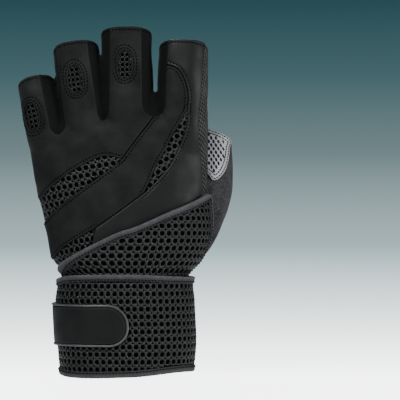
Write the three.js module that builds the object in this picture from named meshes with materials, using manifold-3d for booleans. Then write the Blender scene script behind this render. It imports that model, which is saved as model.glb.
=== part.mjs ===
// A fingerless weightlifting glove for a left hand, with a long elastic wrist wrap wound round it and closed.
// It keeps the shape that a hand gives it. The origin is at the middle of the wrist opening, level with the
// wrap's lower edge. +Z runs to the fingers, -Y is the back of the hand, +Y the palm and +X the thumb's side.
// Lengths are in millimetres. A "form" is the hollow that the hand fills, and each piece is a wall on it.
import * as THREE from "three";
import { mergeVertices } from "three/addons/utils/BufferGeometryUtils.js";
import Module from "manifold-3d";

const wasm = await Module();
wasm.setup();

// The hand's hollow.
const BODY_HEIGHT = 138; // from the wrap's lower edge to the webs between the fingers
const PALM_WIDTH = 93;
const PALM_DEPTH = 30;
const WRIST_WIDTH = 57;
const WRIST_DEPTH = 41;
const CUFF_HEM = 16; // height of the cuff's lower edge above the wrap's lower edge
const CUFF_SEAM_BACK = 54; // height of the seam where the cuff meets the hand's panels
const CUFF_SEAM_PALM = 64;
const KNUCKLE_SLOPE = 0.1; // how much the web line falls towards the little finger
const FINGER_LENGTH = 58; // the middle finger's stall, from the knuckle to the hem
const FINGER_WIDTH = 24.2;
const FINGER_DEPTH = 21;
const FINGER_BEND = 4.5; // how far a hem lies in front of its knuckle
const FINGER_FLARE = 1.1; // a stall's width at the knuckle, against its hem
const FINGER_ROOT = 0.85; // the same below the knuckle, where the stall starts inside the palm's hollow
const FINGER_HEM_DROP = 4.5; // how much lower a hem is on the palm side
const THUMB_HEIGHT = 62; // where the thumb's stall starts
const THUMB_LENGTH = 66.5;
const THUMB_WIDTH = 24;
const THUMB_DEPTH = 23;
const THUMB_HEM_DROP = 5;

// Walls, pads and what is sewn on them.
const LEATHER = 2.2;
const FABRIC = 1.4;
const AIR_MESH = 1.7;
const CUFF_WALL = 1.8;
const PAD = 3.2;
const PATCH = 0.9;
const GAP = 0.3; // between pieces that meet at a seam or lie on each other
const VENT_LENGTH = 15;
const VENT_WIDTH = 6.8;
const VENT_DROP = 19; // from a finger's hem to the middle of its vent

// The wrist wrap. A turn of 0 degrees is at the thumb, 90 at the back of the hand, 180 at the little finger.
const WRAP_WIDTH = 55;
const WRAP_THICK = 2.2;
const WRAP_START = 18;
const WRAP_END = 612;
const WRAP_SLANT = 28; // degrees that the start edge leans round the thumb's root
const WRAP_END_RADIUS = 12;
const BINDING_WIDTH = 3.6;
const BINDING_PROUD = 0.5;
const HOOK_THICK = 0.9;
const HOOK_START = 546;
const HOOK_RADIUS = 7;
const TAB_START = 448;
const TAB_WIDTH = 22.4;
const TAB_HEIGHT = 28; // height of the tab's middle line
const TAB_THICK = 1.3;
const TAB_END_RADIUS = 5;
const RIM_WIDTH = 1.2;
const RIM_PROUD = 0.4;

// How finely the walls are faceted.
const RING_POINTS = 28;
const STALL_POINTS = 14;
const WRAP_STEPS_ACROSS = 4;
const CURVE_POINTS = 3; // along each stretch of a seam between two of its points
const WEB_POINTS = 8;
const CORNER_STEPS = 4;
const SQUARENESS = 0.84; // 1 makes round sections, and less makes them squarer
const CUTTER_REACH = 90;

// Sections of the hand's hollow: how far its four sides lie from the middle line.
// Heights are shares of BODY_HEIGHT, and the others are shares of the width and depth of the palm or the wrist.
const FORM_ROWS = [
  { height: 0.0, of: "wrist", little: 0.46, thumb: 0.455, wrap_thumb: 0.455, back: 0.48, palm: 0.5 },
  { height: 0.12, of: "wrist", little: 0.485, thumb: 0.485, wrap_thumb: 0.485, back: 0.49, palm: 0.51 },
  { height: 0.29, of: "wrist", little: 0.505, thumb: 0.47, wrap_thumb: 0.47, back: 0.47, palm: 0.51 },
  { height: 0.385, of: "palm", little: 0.308, thumb: 0.287, wrap_thumb: 0.287, back: 0.6, palm: 0.68 },
  { height: 0.45, of: "palm", little: 0.405, thumb: 0.345, wrap_thumb: 0.37, back: 0.59, palm: 0.69 },
  { height: 0.55, of: "palm", little: 0.435, thumb: 0.39, wrap_thumb: 0.435, back: 0.56, palm: 0.66 },
  { height: 0.67, of: "palm", little: 0.485, thumb: 0.43, wrap_thumb: 0.45, back: 0.53, palm: 0.58 },
  { height: 0.83, of: "palm", little: 0.524, thumb: 0.452, wrap_thumb: 0.452, back: 0.49, palm: 0.47 },
  { height: 0.95, of: "palm", little: 0.542, thumb: 0.455, wrap_thumb: 0.455, back: 0.42, palm: 0.39 },
];
// Heights at which the walls have a ring of facets, as shares of BODY_HEIGHT, closer where the waist bends.
const RING_HEIGHTS = [0.2, 0.29, 0.345, 0.385, 0.418, 0.45, 0.51, 0.59, 0.7, 0.83, 0.95];
// How the hollow closes between the fingers: rise above the last section as a share of PALM_DEPTH, and its depth.
const WEB_ROWS = [
  { rise: 0.15, depth: 0.83 },
  { rise: 0.28, depth: 0.58 },
  { rise: 0.34, depth: 0.3 },
];
// Where the web line starts to fall towards the little finger, as a share of BODY_HEIGHT.
const SLOPE_START = 0.7;

// The fingers. The root is a share of PALM_WIDTH, and length, width and depth are shares of the middle finger's.
// The leather strip on the back and the grip on the palm run between shares of the stall's half width, and a
// vent's middle lies at one.
const KNUCKLE_HEIGHT = 0.928; // share of BODY_HEIGHT
const FINGERS = [
  {
    name: "little",
    root: -0.459, length: 0.545, width: 0.7, depth: 0.8, lean: 11.5,
    strip: [-0.9, 0.27], grip: [-0.62, 0.85], vent: -0.5,
  },
  {
    name: "ring",
    root: -0.226, length: 0.872, width: 0.9, depth: 0.95, lean: 8,
    strip: [-0.74, 0.62], grip: [-0.4, 0.85], vent: -0.15,
  },
  {
    name: "middle",
    root: 0.0, length: 1.0, width: 1.0, depth: 1.0, lean: 0.3,
    strip: [-0.68, 0.62], grip: [-0.6, 0.86], vent: -0.05,
  },
  {
    name: "index",
    root: 0.316, length: 0.878, width: 0.955, depth: 0.98, lean: -1.2,
    strip: [-0.6, 0.83], grip: [-0.72, 0.9],
  },
];
// Where a stall has its rings, as shares of the way from the knuckle to the hem.
const FINGER_STATIONS = [-0.2, 0, 0.45, 1];
// How high the seams turn between two fingers, as shares of BODY_HEIGHT.
const WEBS = [
  { back: 0.939, palm: 1.02 },
  { back: 0.99, palm: 1.045 },
  { back: 1.006, palm: 1.04 },
];
const WEB_TURN = 0.045; // height over which a seam turns round a web, as a share of BODY_HEIGHT

// The thumb's stall: rise as a share of THUMB_LENGTH, across and forward as shares of the palm's width and depth,
// and width as a share of THUMB_WIDTH.
const THUMB_ROWS = [
  { rise: -0.08, across: 0.2, forward: 0.1, width: 0.75 },
  { rise: 0.06, across: 0.258, forward: 0.23, width: 0.98 },
  { rise: 0.21, across: 0.333, forward: 0.35, width: 1.19 },
  { rise: 0.39, across: 0.396, forward: 0.52, width: 1.25 },
  { rise: 0.6, across: 0.44, forward: 0.72, width: 1.25 },
  { rise: 0.75, across: 0.457, forward: 0.88, width: 1.13 },
  { rise: 0.91, across: 0.467, forward: 1.05, width: 1.04 },
  { rise: 1.0, across: 0.478, forward: 1.15, width: 1.0 },
];

// Seams on the back and the palm, as [across, height]: across is a share of the half width at that height,
// from -1 at the little finger to 1 at the thumb, and height is a share of BODY_HEIGHT.
const EDGE = 0.985;
const PAD_SEAM = [[0.28, 0.959], [0.13, 0.892], [0.02, 0.841]];
const WINDOW_UPPER = [[0.02, 0.841], [-0.18, 0.853], [-0.47, 0.81], [-0.78, 0.74], [-EDGE, 0.68]];
const WINDOW_LOWER = [[0.02, 0.841], [-0.13, 0.802], [-0.43, 0.732], [-0.76, 0.657], [-EDGE, 0.6]];
const INDEX_SEAM_TOP = [[0.55, 1.209], [0.65, 1.193], [0.72, 1.154], [0.76, 1.096], [0.755, 1.037]];
const INDEX_SEAM_ARC = [
  [0.755, 1.037], [0.74, 0.967], [0.67, 0.9], [0.56, 0.822], [0.42, 0.763], [0.27, 0.712],
];
const INDEX_SEAM_LOW = [[0.27, 0.712], [-0.05, 0.636], [-0.35, 0.575]];
const ARC_LEFT = [
  [0.755, 1.037], [0.66, 0.972], [0.57, 0.92], [0.49, 0.865], [0.4, 0.81], [0.34, 0.76], [0.27, 0.712],
];
const LOW_UPPER = [[-0.35, 0.575], [-0.58, 0.536], [-0.77, 0.501], [-EDGE, 0.452]];
const THUMB_SIDE_SEAM = [[0.9, 1.115], [0.87, 0.959], [0.9, 0.841], [0.94, 0.716], [0.96, 0.607]];
const PALM_EDGE = [[0.88, 0.93], [0.75, 0.86], [0.57, 0.82], [0.42, 0.812], [0.28, 0.84]];
const HEEL_ARC = [
  [0.28, 0.84], [0.1, 0.868], [-0.08, 0.852], [-0.28, 0.81], [-0.45, 0.71], [-0.56, 0.62], [-0.63, 0.4],
];
const HEEL_INNER = [[0.1, 0.4], [0.2, 0.47], [0.25, 0.54], [0.25, 0.76], [0.28, 0.84]];
// The grip tongue over the thumb's web, as [across, down]: shares of THUMB_WIDTH from the stall's middle line
// and of THUMB_LENGTH from its hem.
const TONGUE = [
  [-0.75, -0.15], [0.44, -0.15], [0.43, 0.12], [0.36, 0.27], [0.22, 0.35], [0.06, 0.37], [-0.1, 0.31], [-0.75, 0.2],
];
const TONGUE_BACK = 0.95; // how far forward the tongue's faces reach, as a share of PALM_DEPTH
const GUSSET_BACK = 0.1; // where the side gusset meets the thumb's stall, as a share of PALM_DEPTH

// The wrap's path: its two edges as shares of WRAP_WIDTH above its lowest level.
const WRAP_ROWS = [
  { turn: 0, low: 0.82, high: 1.86 },
  { turn: 23, low: 0.69, high: 1.78 },
  { turn: 66, low: 0.49, high: 1.59 },
  { turn: 90, low: 0.35, high: 1.43 },
  { turn: 110, low: 0.22, high: 1.28 },
  { turn: 130, low: 0.12, high: 1.16 },
  { turn: 165, low: 0.05, high: 1.04 },
  { turn: 200, low: 0.03, high: 1.01 },
  { turn: 270, low: 0.01, high: 0.99 },
  { turn: 360, low: 0.04, high: 0.965 },
  { turn: 405, low: 0.05, high: 0.98 },
  { turn: 450, low: 0.01, high: 1.0 },
  { turn: 500, low: 0.0, high: 0.985 },
  { turn: 540, low: 0.02, high: 0.94 },
  { turn: 620, low: 0.02, high: 0.95 },
];
// The turns over which the wrap climbs onto its own first layer.
const CLIMB = [303, 340];
const SLANT_REACH = 72; // degrees over which the lean of the start edge fades

const rad = THREE.MathUtils.degToRad;
const { clamp, smoothstep } = THREE.MathUtils;
const squared = (value) => Math.sign(value) * Math.abs(value) ** SQUARENESS;

// A smooth function through the rows of a table: it gives the named columns' values at any place in between.
function tableCurve(rows, key, columns) {
  const places = rows.map((row) => row[key]);
  const curve = new THREE.CubicInterpolant(places, rows.flatMap((row) => columns.map((c) => row[c])), columns.length);
  return (at) => [...curve.evaluate(clamp(at, places[0], places.at(-1)))];
}

const SIDES = ["little", "thumb", "wrap_thumb", "back", "palm"];
const formCurve = tableCurve(
  FORM_ROWS.map((row) => {
    const [width, depth] = row.of === "wrist" ? [WRIST_WIDTH, WRIST_DEPTH] : [PALM_WIDTH, PALM_DEPTH];
    return {
      height: row.height * BODY_HEIGHT,
      little: row.little * width,
      thumb: row.thumb * width,
      wrap_thumb: row.wrap_thumb * width,
      back: row.back * depth,
      palm: row.palm * depth,
    };
  }),
  "height",
  SIDES,
);
const wrapCurve = tableCurve(WRAP_ROWS, "turn", ["low", "high"]);

// A point at a turn round the hollow, at a height, pushed out by a wall's thickness.
function formPoint(turn, height, out, thumbSide = "thumb", depthShare = 1) {
  const values = formCurve(height);
  const side = Object.fromEntries(SIDES.map((name, i) => [name, values[i]]));
  const middle = (side[thumbSide] - side.little) / 2;
  const halfWidth = (side[thumbSide] + side.little) / 2 + out;
  const across = Math.cos(rad(turn));
  const towardsBack = Math.sin(rad(turn));
  const depth = (towardsBack > 0 ? side.back : side.palm) * depthShare + out;
  return new THREE.Vector3(middle + halfWidth * squared(across), -depth * squared(towardsBack), height);
}

// A closed geometry as a solid. Faces that come out pointing inwards are turned round.
function solidOf(geometry) {
  const bare = new THREE.BufferGeometry().setAttribute("position", geometry.getAttribute("position"));
  if (geometry.index) bare.setIndex(geometry.index);
  const merged = mergeVertices(bare, 1e-4);
  const mesh = { numProp: 3, vertProperties: merged.attributes.position.array };
  const triVerts = new Uint32Array(merged.index.array);
  const made = new wasm.Manifold(new wasm.Mesh({ ...mesh, triVerts }));
  if (made.volume() > 0) return made;
  return new wasm.Manifold(new wasm.Mesh({ ...mesh, triVerts: triVerts.reverse() }));
}

// A solid from a grid of points that closes round in its second direction, with its ends filled if asked.
function gridSolid(rows, { loop = false } = {}) {
  const count = rows[0].length;
  const positions = rows.flat().flatMap((p) => [p.x, p.y, p.z]);
  const index = [];
  const spans = loop ? rows.length : rows.length - 1;
  for (let i = 0; i < spans; i++) {
    for (let j = 0; j < count; j++) {
      const a = i * count + j;
      const b = i * count + ((j + 1) % count);
      const c = ((i + 1) % rows.length) * count + ((j + 1) % count);
      const d = ((i + 1) % rows.length) * count + j;
      index.push(a, b, c, a, c, d);
    }
  }
  if (!loop) {
    for (const [row, turnRound] of [[0, true], [rows.length - 1, false]]) {
      const flat = rows[row].length / 2;
      for (let j = 0; j < flat - 1; j++) {
        const near = [row * count + j, row * count + j + 1];
        const far = [row * count + count - 1 - j, row * count + count - 2 - j];
        const faces = [[near[0], near[1], far[1]], [near[0], far[1], far[0]]];
        for (const face of faces) index.push(...(turnRound ? face.reverse() : face));
      }
    }
  }
  const geometry = new THREE.BufferGeometry();
  geometry.setAttribute("position", new THREE.Float32BufferAttribute(positions, 3));
  geometry.setIndex(index);
  return solidOf(geometry);
}

const joined = (solids) => solids.reduce((all, one) => all.add(one));

// Trimming can leave crumbs beside a piece, and the largest body is the piece itself.
function largest(solid) {
  return solid.decompose().reduce((best, one) => (one.volume() > best.volume() ? one : best));
}

// The hollow of the palm and wrist, pushed out by a wall. "past" carries its lower end through the hem.
function bodySolid(out, past) {
  const top = RING_HEIGHTS.at(-1) * BODY_HEIGHT;
  const levels = [
    { height: CUFF_HEM - past, depth: 1 },
    ...RING_HEIGHTS.map((share) => ({ height: share * BODY_HEIGHT, depth: 1 })),
    ...WEB_ROWS.map((row) => ({ height: top + row.rise * PALM_DEPTH, depth: row.depth })),
  ];
  const rows = levels.map(({ height, depth }) => {
    const lean = KNUCKLE_SLOPE * smoothstep(height / BODY_HEIGHT, SLOPE_START, 1);
    const ring = [];
    for (let i = 0; i < RING_POINTS; i++) {
      const point = formPoint((360 * i) / RING_POINTS, Math.min(height, top), out, "thumb", depth);
      point.z = height + lean * point.x + out * (height > top ? 1 : 0);
      ring.push(point);
    }
    return ring;
  });
  return gridSolid(rows);
}

// A stall along a path of stations: each has a centre, a half width and a half depth.
// The hem falls by "drop" towards the palm or the thumb's outer side.
function stallSolid(stations, out, past, drop, dropSide) {
  const path = new THREE.CatmullRomCurve3(stations.map((s) => s.centre));
  const last = stations.length - 1;
  const rings = stations.map((station, i) => ({ ...station, share: i / last }));
  if (past > 0) {
    const end = rings[last];
    rings.push({ ...end, centre: end.centre.clone().addScaledVector(path.getTangent(1), past) });
  }
  const rows = rings.map(({ centre, halfWidth, halfDepth, share }) => {
    const along = path.getTangent(share);
    const forward = new THREE.Vector3(0, 1, 0).addScaledVector(along, -along.y).normalize();
    const across = new THREE.Vector3().crossVectors(forward, along);
    const ring = [];
    for (let j = 0; j < STALL_POINTS; j++) {
      const angle = (2 * Math.PI * j) / STALL_POINTS;
      const side = { palm: Math.sin(angle), thumb: Math.cos(angle) }[dropSide];
      ring.push(
        centre
          .clone()
          .addScaledVector(across, (halfWidth + out) * squared(Math.cos(angle)))
          .addScaledVector(forward, (halfDepth + out) * squared(Math.sin(angle)))
          .addScaledVector(along, (-drop * share ** 2 * (1 + side)) / 2),
      );
    }
    return ring;
  });
  return gridSolid(rows);
}

const fingerReach = (finger) => finger.length * FINGER_LENGTH;

// A finger's middle line and half sizes, at a distance above its knuckle.
function fingerLine(finger, along) {
  const share = along / fingerReach(finger);
  const lean = rad(finger.lean);
  const x = finger.root * PALM_WIDTH - along * Math.sin(lean);
  const z = KNUCKLE_HEIGHT * BODY_HEIGHT + along * Math.cos(lean);
  const y = -1 + FINGER_BEND * Math.sign(share) * share ** 2;
  const flare = (share < 0 ? FINGER_ROOT : THREE.MathUtils.lerp(FINGER_FLARE, 1, Math.min(share, 1))) / 2;
  const halfDepth = finger.depth * FINGER_DEPTH * flare;
  return { centre: new THREE.Vector3(x, y, z), halfWidth: finger.width * FINGER_WIDTH * flare, halfDepth };
}

function fingerSolid(finger, out, past) {
  const stations = FINGER_STATIONS.map((share) => fingerLine(finger, share * fingerReach(finger)));
  return stallSolid(stations, out, past, FINGER_HEM_DROP, "palm");
}

const thumbStations = THUMB_ROWS.map((row) => ({
  centre: new THREE.Vector3(
    row.across * PALM_WIDTH,
    row.forward * PALM_DEPTH,
    THUMB_HEIGHT + row.rise * THUMB_LENGTH,
  ),
  halfWidth: (row.width * THUMB_WIDTH) / 2,
  halfDepth: (row.width * THUMB_DEPTH) / 2,
}));
const thumbSolid = (out, past) => stallSolid(thumbStations, out, past, THUMB_HEM_DROP, "thumb");

const handSolid = (out, past) => joined([bodySolid(out, past), ...FINGERS.map((f) => fingerSolid(f, out, past))]);

// A point on the flat drawing of the hand, from shares of the half width and of the height.
function drawn([across, height]) {
  const [little, thumb] = formCurve(height * BODY_HEIGHT);
  const middle = (thumb - little) / 2;
  return new THREE.Vector2(middle + across * ((thumb + little) / 2 + LEATHER), height * BODY_HEIGHT);
}

// A smooth seam through points of the drawing.
const seam = (points) => new THREE.SplineCurve(points.map(drawn)).getPoints((points.length - 1) * CURVE_POINTS);
const smooth = (points, count) => new THREE.SplineCurve(points).getPoints(count);

// A point on a finger's drawing: a share of its half width, at a distance above its knuckle.
function onFinger(finger, share, along) {
  const { centre, halfWidth } = fingerLine(finger, along);
  const lean = rad(finger.lean);
  const reach = share * (halfWidth + LEATHER);
  return new THREE.Vector2(centre.x + reach * Math.cos(lean), centre.z + reach * Math.sin(lean));
}

// The distance above a finger's knuckle at which its drawing reaches a height.
const alongAt = (finger, height) => (height - KNUCKLE_HEIGHT * BODY_HEIGHT) / Math.cos(rad(finger.lean));

const PAST_HEM = 8;

// One finger's strip, up one edge, past the hem and down the other, between two heights.
function fingerStrip(finger, edges, startHeight, endHeight) {
  const top = fingerReach(finger) + PAST_HEM;
  return [
    onFinger(finger, edges[0], alongAt(finger, startHeight)),
    onFinger(finger, edges[0], top),
    onFinger(finger, edges[1], top),
    onFinger(finger, edges[1], alongAt(finger, endHeight)),
  ];
}

// The seam's turn round the web between two fingers.
function webTurn(left, leftEdge, right, rightEdge, height) {
  const rise = WEB_TURN * BODY_HEIGHT;
  const start = onFinger(left, leftEdge, alongAt(left, height + rise));
  const end = onFinger(right, rightEdge, alongAt(right, height + rise));
  const low = new THREE.Vector2((start.x + end.x) / 2, height);
  const inner = (p) => new THREE.Vector2(p.x + (low.x - p.x) * 0.25, height + rise * 0.4);
  return smooth([start, inner(start), low, inner(end), end], WEB_POINTS);
}

// The upper outline over some neighbouring fingers, from its first height to its last.
function overFingers(fingers, edge, web, firstHeight, lastHeight) {
  const turnTop = (i) => (WEBS[i][web] + WEB_TURN) * BODY_HEIGHT;
  return fingers.flatMap((finger, k) => {
    const i = FINGERS.indexOf(finger);
    const from = k === 0 ? firstHeight : turnTop(i - 1);
    const to = k === fingers.length - 1 ? lastHeight : turnTop(i);
    const strip = fingerStrip(finger, finger[edge], from, to);
    const next = fingers[k + 1];
    if (!next) return strip;
    return [...strip, ...webTurn(finger, finger[edge][1], next, next[edge][0], WEBS[i][web] * BODY_HEIGHT)];
  });
}

const [little, ring, middle, index] = FINGERS;
const seamHeight = (CUFF_SEAM_BACK - 1) / BODY_HEIGHT;
const backWeb = WEBS.at(-1).back * BODY_HEIGHT;
const middleWeb = webTurn(middle, middle.strip[1], index, index.strip[0], backWeb);
const webLow = middleWeb[WEB_POINTS / 2];
const padSeam = smooth([webLow, ...PAD_SEAM.map(drawn)], PAD_SEAM.length * CURVE_POINTS);
const indexSeamStart = onFinger(index, index.strip[0], alongAt(index, INDEX_SEAM_TOP[0][1] * BODY_HEIGHT));
const indexSeamTop = smooth([indexSeamStart, ...INDEX_SEAM_TOP.slice(1).map(drawn)], 4 * CURVE_POINTS);
const backwards = (points) => [...points].reverse();

// The flat outlines of the pieces on the back of the hand.
const backOutlines = {
  back_panel: [
    ...overFingers([little, ring, middle], "strip", "back", BODY_HEIGHT, (WEBS.at(-1).back + WEB_TURN) * BODY_HEIGHT),
    ...middleWeb.slice(1, WEB_POINTS / 2),
    ...padSeam,
    ...seam(WINDOW_UPPER).slice(1),
    drawn([-EDGE, 0.85]),
  ],
  back_mesh_window: [...seam(WINDOW_UPPER), ...backwards(seam(WINDOW_LOWER).slice(1))],
  knuckle_pad: [
    ...padSeam,
    ...seam(WINDOW_LOWER).slice(1),
    drawn([-EDGE, 0.53]),
    ...backwards(seam(LOW_UPPER)),
    ...backwards(seam(INDEX_SEAM_LOW)).slice(1),
    ...backwards(seam(ARC_LEFT)).slice(1),
    ...backwards(indexSeamTop).slice(1),
    onFinger(index, index.strip[0], alongAt(index, (WEBS.at(-1).back + WEB_TURN) * BODY_HEIGHT)),
    ...backwards(middleWeb.slice(WEB_POINTS / 2 + 1, WEB_POINTS)),
  ],
  arc_mesh_window: [...seam(ARC_LEFT), ...backwards(seam(INDEX_SEAM_ARC)).slice(1, -1)],
  low_mesh_window: [...seam(LOW_UPPER), drawn([-EDGE, seamHeight]), drawn([-0.42, seamHeight])],
  index_panel: [
    onFinger(index, index.strip[0], fingerReach(index) + PAST_HEM),
    onFinger(index, index.strip[1], fingerReach(index) + PAST_HEM),
    ...seam(THUMB_SIDE_SEAM),
    drawn([0.97, seamHeight]),
    drawn([-0.42, seamHeight]),
    ...backwards(seam(INDEX_SEAM_LOW)),
    ...backwards(seam(INDEX_SEAM_ARC)).slice(1),
    ...backwards(indexSeamTop).slice(1),
  ],
};
// The flat outlines of the pieces on the palm.
const palmOutlines = {
  palm_grip: [
    ...overFingers(FINGERS, "grip", "palm", BODY_HEIGHT, BODY_HEIGHT),
    ...seam(PALM_EDGE),
    ...seam(HEEL_ARC).slice(1),
    drawn([-EDGE, HEEL_ARC.at(-1)[1]]),
    drawn([-EDGE, 0.7]),
    drawn([-EDGE, 0.85]),
  ],
  heel_pad: [...seam(HEEL_ARC), ...seam(HEEL_INNER).slice(0, -1)],
};

// An outline moved outwards by a distance, or inwards by a negative one, with its corners mitred.
function moved(outline, distance) {
  const points = outline.filter((point, i) => point.distanceTo(outline.at(i - 1)) > GAP / 2);
  const turn = THREE.ShapeUtils.isClockWise(points) ? -1 : 1;
  const normal = (from, to) => new THREE.Vector2(to.y - from.y, from.x - to.x).normalize();
  return points.map((point, i) => {
    const before = normal(points.at(i - 1), point);
    const middle = normal(point, points[(i + 1) % points.length]).add(before).normalize();
    return point.clone().addScaledVector(middle, (distance * turn) / Math.max(middle.dot(before), 0.4));
  });
}

// A cutter that stands on an outline of the drawing, between two depths.
function cutter(outline, from, to) {
  const geometry = new THREE.ExtrudeGeometry(new THREE.Shape(outline), { depth: to - from, bevelEnabled: false });
  return solidOf(geometry.rotateX(Math.PI / 2).translate(0, to, 0));
}
const backCutter = (outline, grow) => cutter(moved(outline, grow), -CUTTER_REACH, 0);
const palmCutter = (outline, grow) => cutter(moved(outline, grow), GAP, CUTTER_REACH);

function boxCutter(low, high) {
  const size = high.clone().sub(low);
  const geometry = new THREE.BoxGeometry(size.x, size.y, size.z);
  geometry.translate(...low.clone().add(high).multiplyScalar(0.5));
  return solidOf(geometry);
}
// Everything above the cuff's seam, which is lower on the back than on the palm.
function aboveSeam(grow) {
  const top = BODY_HEIGHT * 2;
  return joined([
    boxCutter(
      new THREE.Vector3(-CUTTER_REACH, -CUTTER_REACH, CUFF_SEAM_BACK - grow),
      new THREE.Vector3(CUTTER_REACH, grow, top),
    ),
    boxCutter(
      new THREE.Vector3(-CUTTER_REACH, 0, CUFF_SEAM_PALM - grow),
      new THREE.Vector3(CUTTER_REACH, CUTTER_REACH, top),
    ),
  ]);
}

const hollow = joined([handSolid(0, PAST_HEM), thumbSolid(0, PAST_HEM)]);
const thumbOutside = thumbSolid(FABRIC + GAP, 0);
const walls = new Map();
// The wall of the palm, wrist and fingers, of a thickness, without the thumb's stall.
function wall(thickness) {
  if (!walls.has(thickness)) walls.set(thickness, handSolid(thickness, 0).subtract(hollow).subtract(thumbOutside));
  return walls.get(thickness);
}

// An oval vent on a finger's back, as an outline.
function ventOutline(finger) {
  const points = [];
  const lean = rad(finger.lean);
  const centre = onFinger(finger, finger.vent, fingerReach(finger) - VENT_DROP);
  for (let i = 0; i < STALL_POINTS; i++) {
    const angle = (2 * Math.PI * i) / STALL_POINTS;
    const x = (VENT_WIDTH / 2) * squared(Math.cos(angle));
    const z = (VENT_LENGTH / 2) * squared(Math.sin(angle));
    points.push(
      new THREE.Vector2(
        centre.x + x * Math.cos(lean) - z * Math.sin(lean),
        centre.y + x * Math.sin(lean) + z * Math.cos(lean),
      ),
    );
  }
  return points;
}

// A panel of the back or the palm: its outline cut out of the wall, half a gap inside each seam.
function panel(outline, thickness, cut) {
  return wall(thickness).intersect(aboveSeam(0)).intersect(cut(outline, -GAP / 2));
}

// What is left between the back's panels and the palm's, in fabric: the fingers' side walls and the gussets.
const sideWall = wall(FABRIC)
  .intersect(aboveSeam(0))
  .subtract(joined(Object.values(backOutlines).map((outline) => backCutter(outline, GAP / 2))))
  .subtract(joined(Object.values(palmOutlines).map((outline) => palmCutter(outline, GAP / 2))));

// The strip of the drawing between two neighbouring fingers' middle lines, cut right through.
function betweenFingers(left, right) {
  const low = Math.min(WEBS[FINGERS.indexOf(left)].back, 1) * BODY_HEIGHT - PALM_DEPTH / 4;
  const line = (finger, height) => onFinger(finger, 0, alongAt(finger, height));
  const high = BODY_HEIGHT + FINGER_LENGTH;
  return cutter([line(left, low), line(left, high), line(right, high), line(right, low)], -CUTTER_REACH, CUTTER_REACH);
}

const gussetBack = GUSSET_BACK * PALM_DEPTH;
const thumbWebHeight = PALM_EDGE[0][1] * BODY_HEIGHT;
// The thumb's side of the hand: beyond the index finger's middle line.
const indexSide = cutter(
  [
    onFinger(index, 0, alongAt(index, 0)),
    onFinger(index, 0, fingerReach(index) + PAST_HEM),
    new THREE.Vector2(CUTTER_REACH, BODY_HEIGHT * 2),
    new THREE.Vector2(CUTTER_REACH, 0),
  ],
  -CUTTER_REACH,
  CUTTER_REACH,
);
const thumbZone = boxCutter(
  new THREE.Vector3(0, gussetBack + GAP, 0),
  new THREE.Vector3(CUTTER_REACH, CUTTER_REACH, thumbWebHeight - GAP),
);
const gussetLimit = boxCutter(
  new THREE.Vector3(0, gussetBack, 0),
  new THREE.Vector3(CUTTER_REACH, CUTTER_REACH, thumbWebHeight),
);
const littleSide = boxCutter(
  new THREE.Vector3(-CUTTER_REACH, -CUTTER_REACH, 0),
  new THREE.Vector3(-PALM_WIDTH / 4, CUTTER_REACH, BODY_HEIGHT * 2),
).subtract(betweenFingers(little, ring).add(betweenFingers(ring, middle)));

// The thumb's stall with the fabric over the root of the thumb, which runs on to the palm's pads.
function thumbStall() {
  const fabric = handSolid(FABRIC, 0)
    .intersect(thumbZone)
    .intersect(aboveSeam(0))
    .subtract(joined(Object.values(palmOutlines).map((outline) => palmCutter(outline, GAP / 2))));
  return fabric.add(thumbSolid(FABRIC, 0)).subtract(hollow);
}

// The grip's tongue, which comes over the web from the palm and lies on the thumb's stall.
function thumbTongue() {
  const hem = thumbStations.at(-1).centre;
  const outline = TONGUE.map(
    ([across, down]) => new THREE.Vector2(hem.x + across * THUMB_WIDTH, hem.z - down * THUMB_LENGTH),
  );
  return thumbSolid(FABRIC + GAP + PATCH, 0)
    .subtract(thumbSolid(FABRIC + GAP, PAST_HEM))
    .intersect(cutter(smoothLoop(outline), -PALM_DEPTH, TONGUE_BACK * PALM_DEPTH))
    .subtract(handSolid(LEATHER + GAP, 0));
}

// A closed outline, smoothed.
function smoothLoop(outline) {
  const closed = outline.map((p) => new THREE.Vector3(p.x, p.y, 0));
  const curve = new THREE.CatmullRomCurve3(closed, true, "centripetal");
  return curve.getPoints(outline.length * 3).slice(1).map((p) => new THREE.Vector2(p.x, p.y));
}

// How far the wrap's inner face lies from the hollow: it climbs onto its own first layer near the thumb.
const LAYER_STEP = WRAP_THICK + BINDING_PROUD + GAP + HOOK_THICK + GAP;
const seat = (turn) => PAD + GAP + LAYER_STEP * smoothstep(turn, ...CLIMB);

// A point on the wrap: its turn, height and distance from the wrap's inner face.
function wrapPoint(turn, height, lift) {
  const fade = 1 - smoothstep(turn, WRAP_START, WRAP_START + SLANT_REACH);
  const [low, high] = wrapCurve(turn);
  const upward = clamp((height / WRAP_WIDTH - low) / (high - low), 0, 1);
  const leaned = turn - WRAP_SLANT * fade * (1 - upward);
  return formPoint(leaned, height, seat(turn) + lift, "wrap_thumb");
}

const SCALE_REACH = 5; // degrees each way over which a length along the wrap is measured
// How many degrees a millimetre is worth along the wrap, at a turn.
function degreesPerMillimetre(turn) {
  const [before, after] = [-SCALE_REACH, SCALE_REACH].map((d) => wrapPoint(turn + d, WRAP_WIDTH / 2, WRAP_THICK));
  return (2 * SCALE_REACH) / before.distanceTo(after);
}

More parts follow.
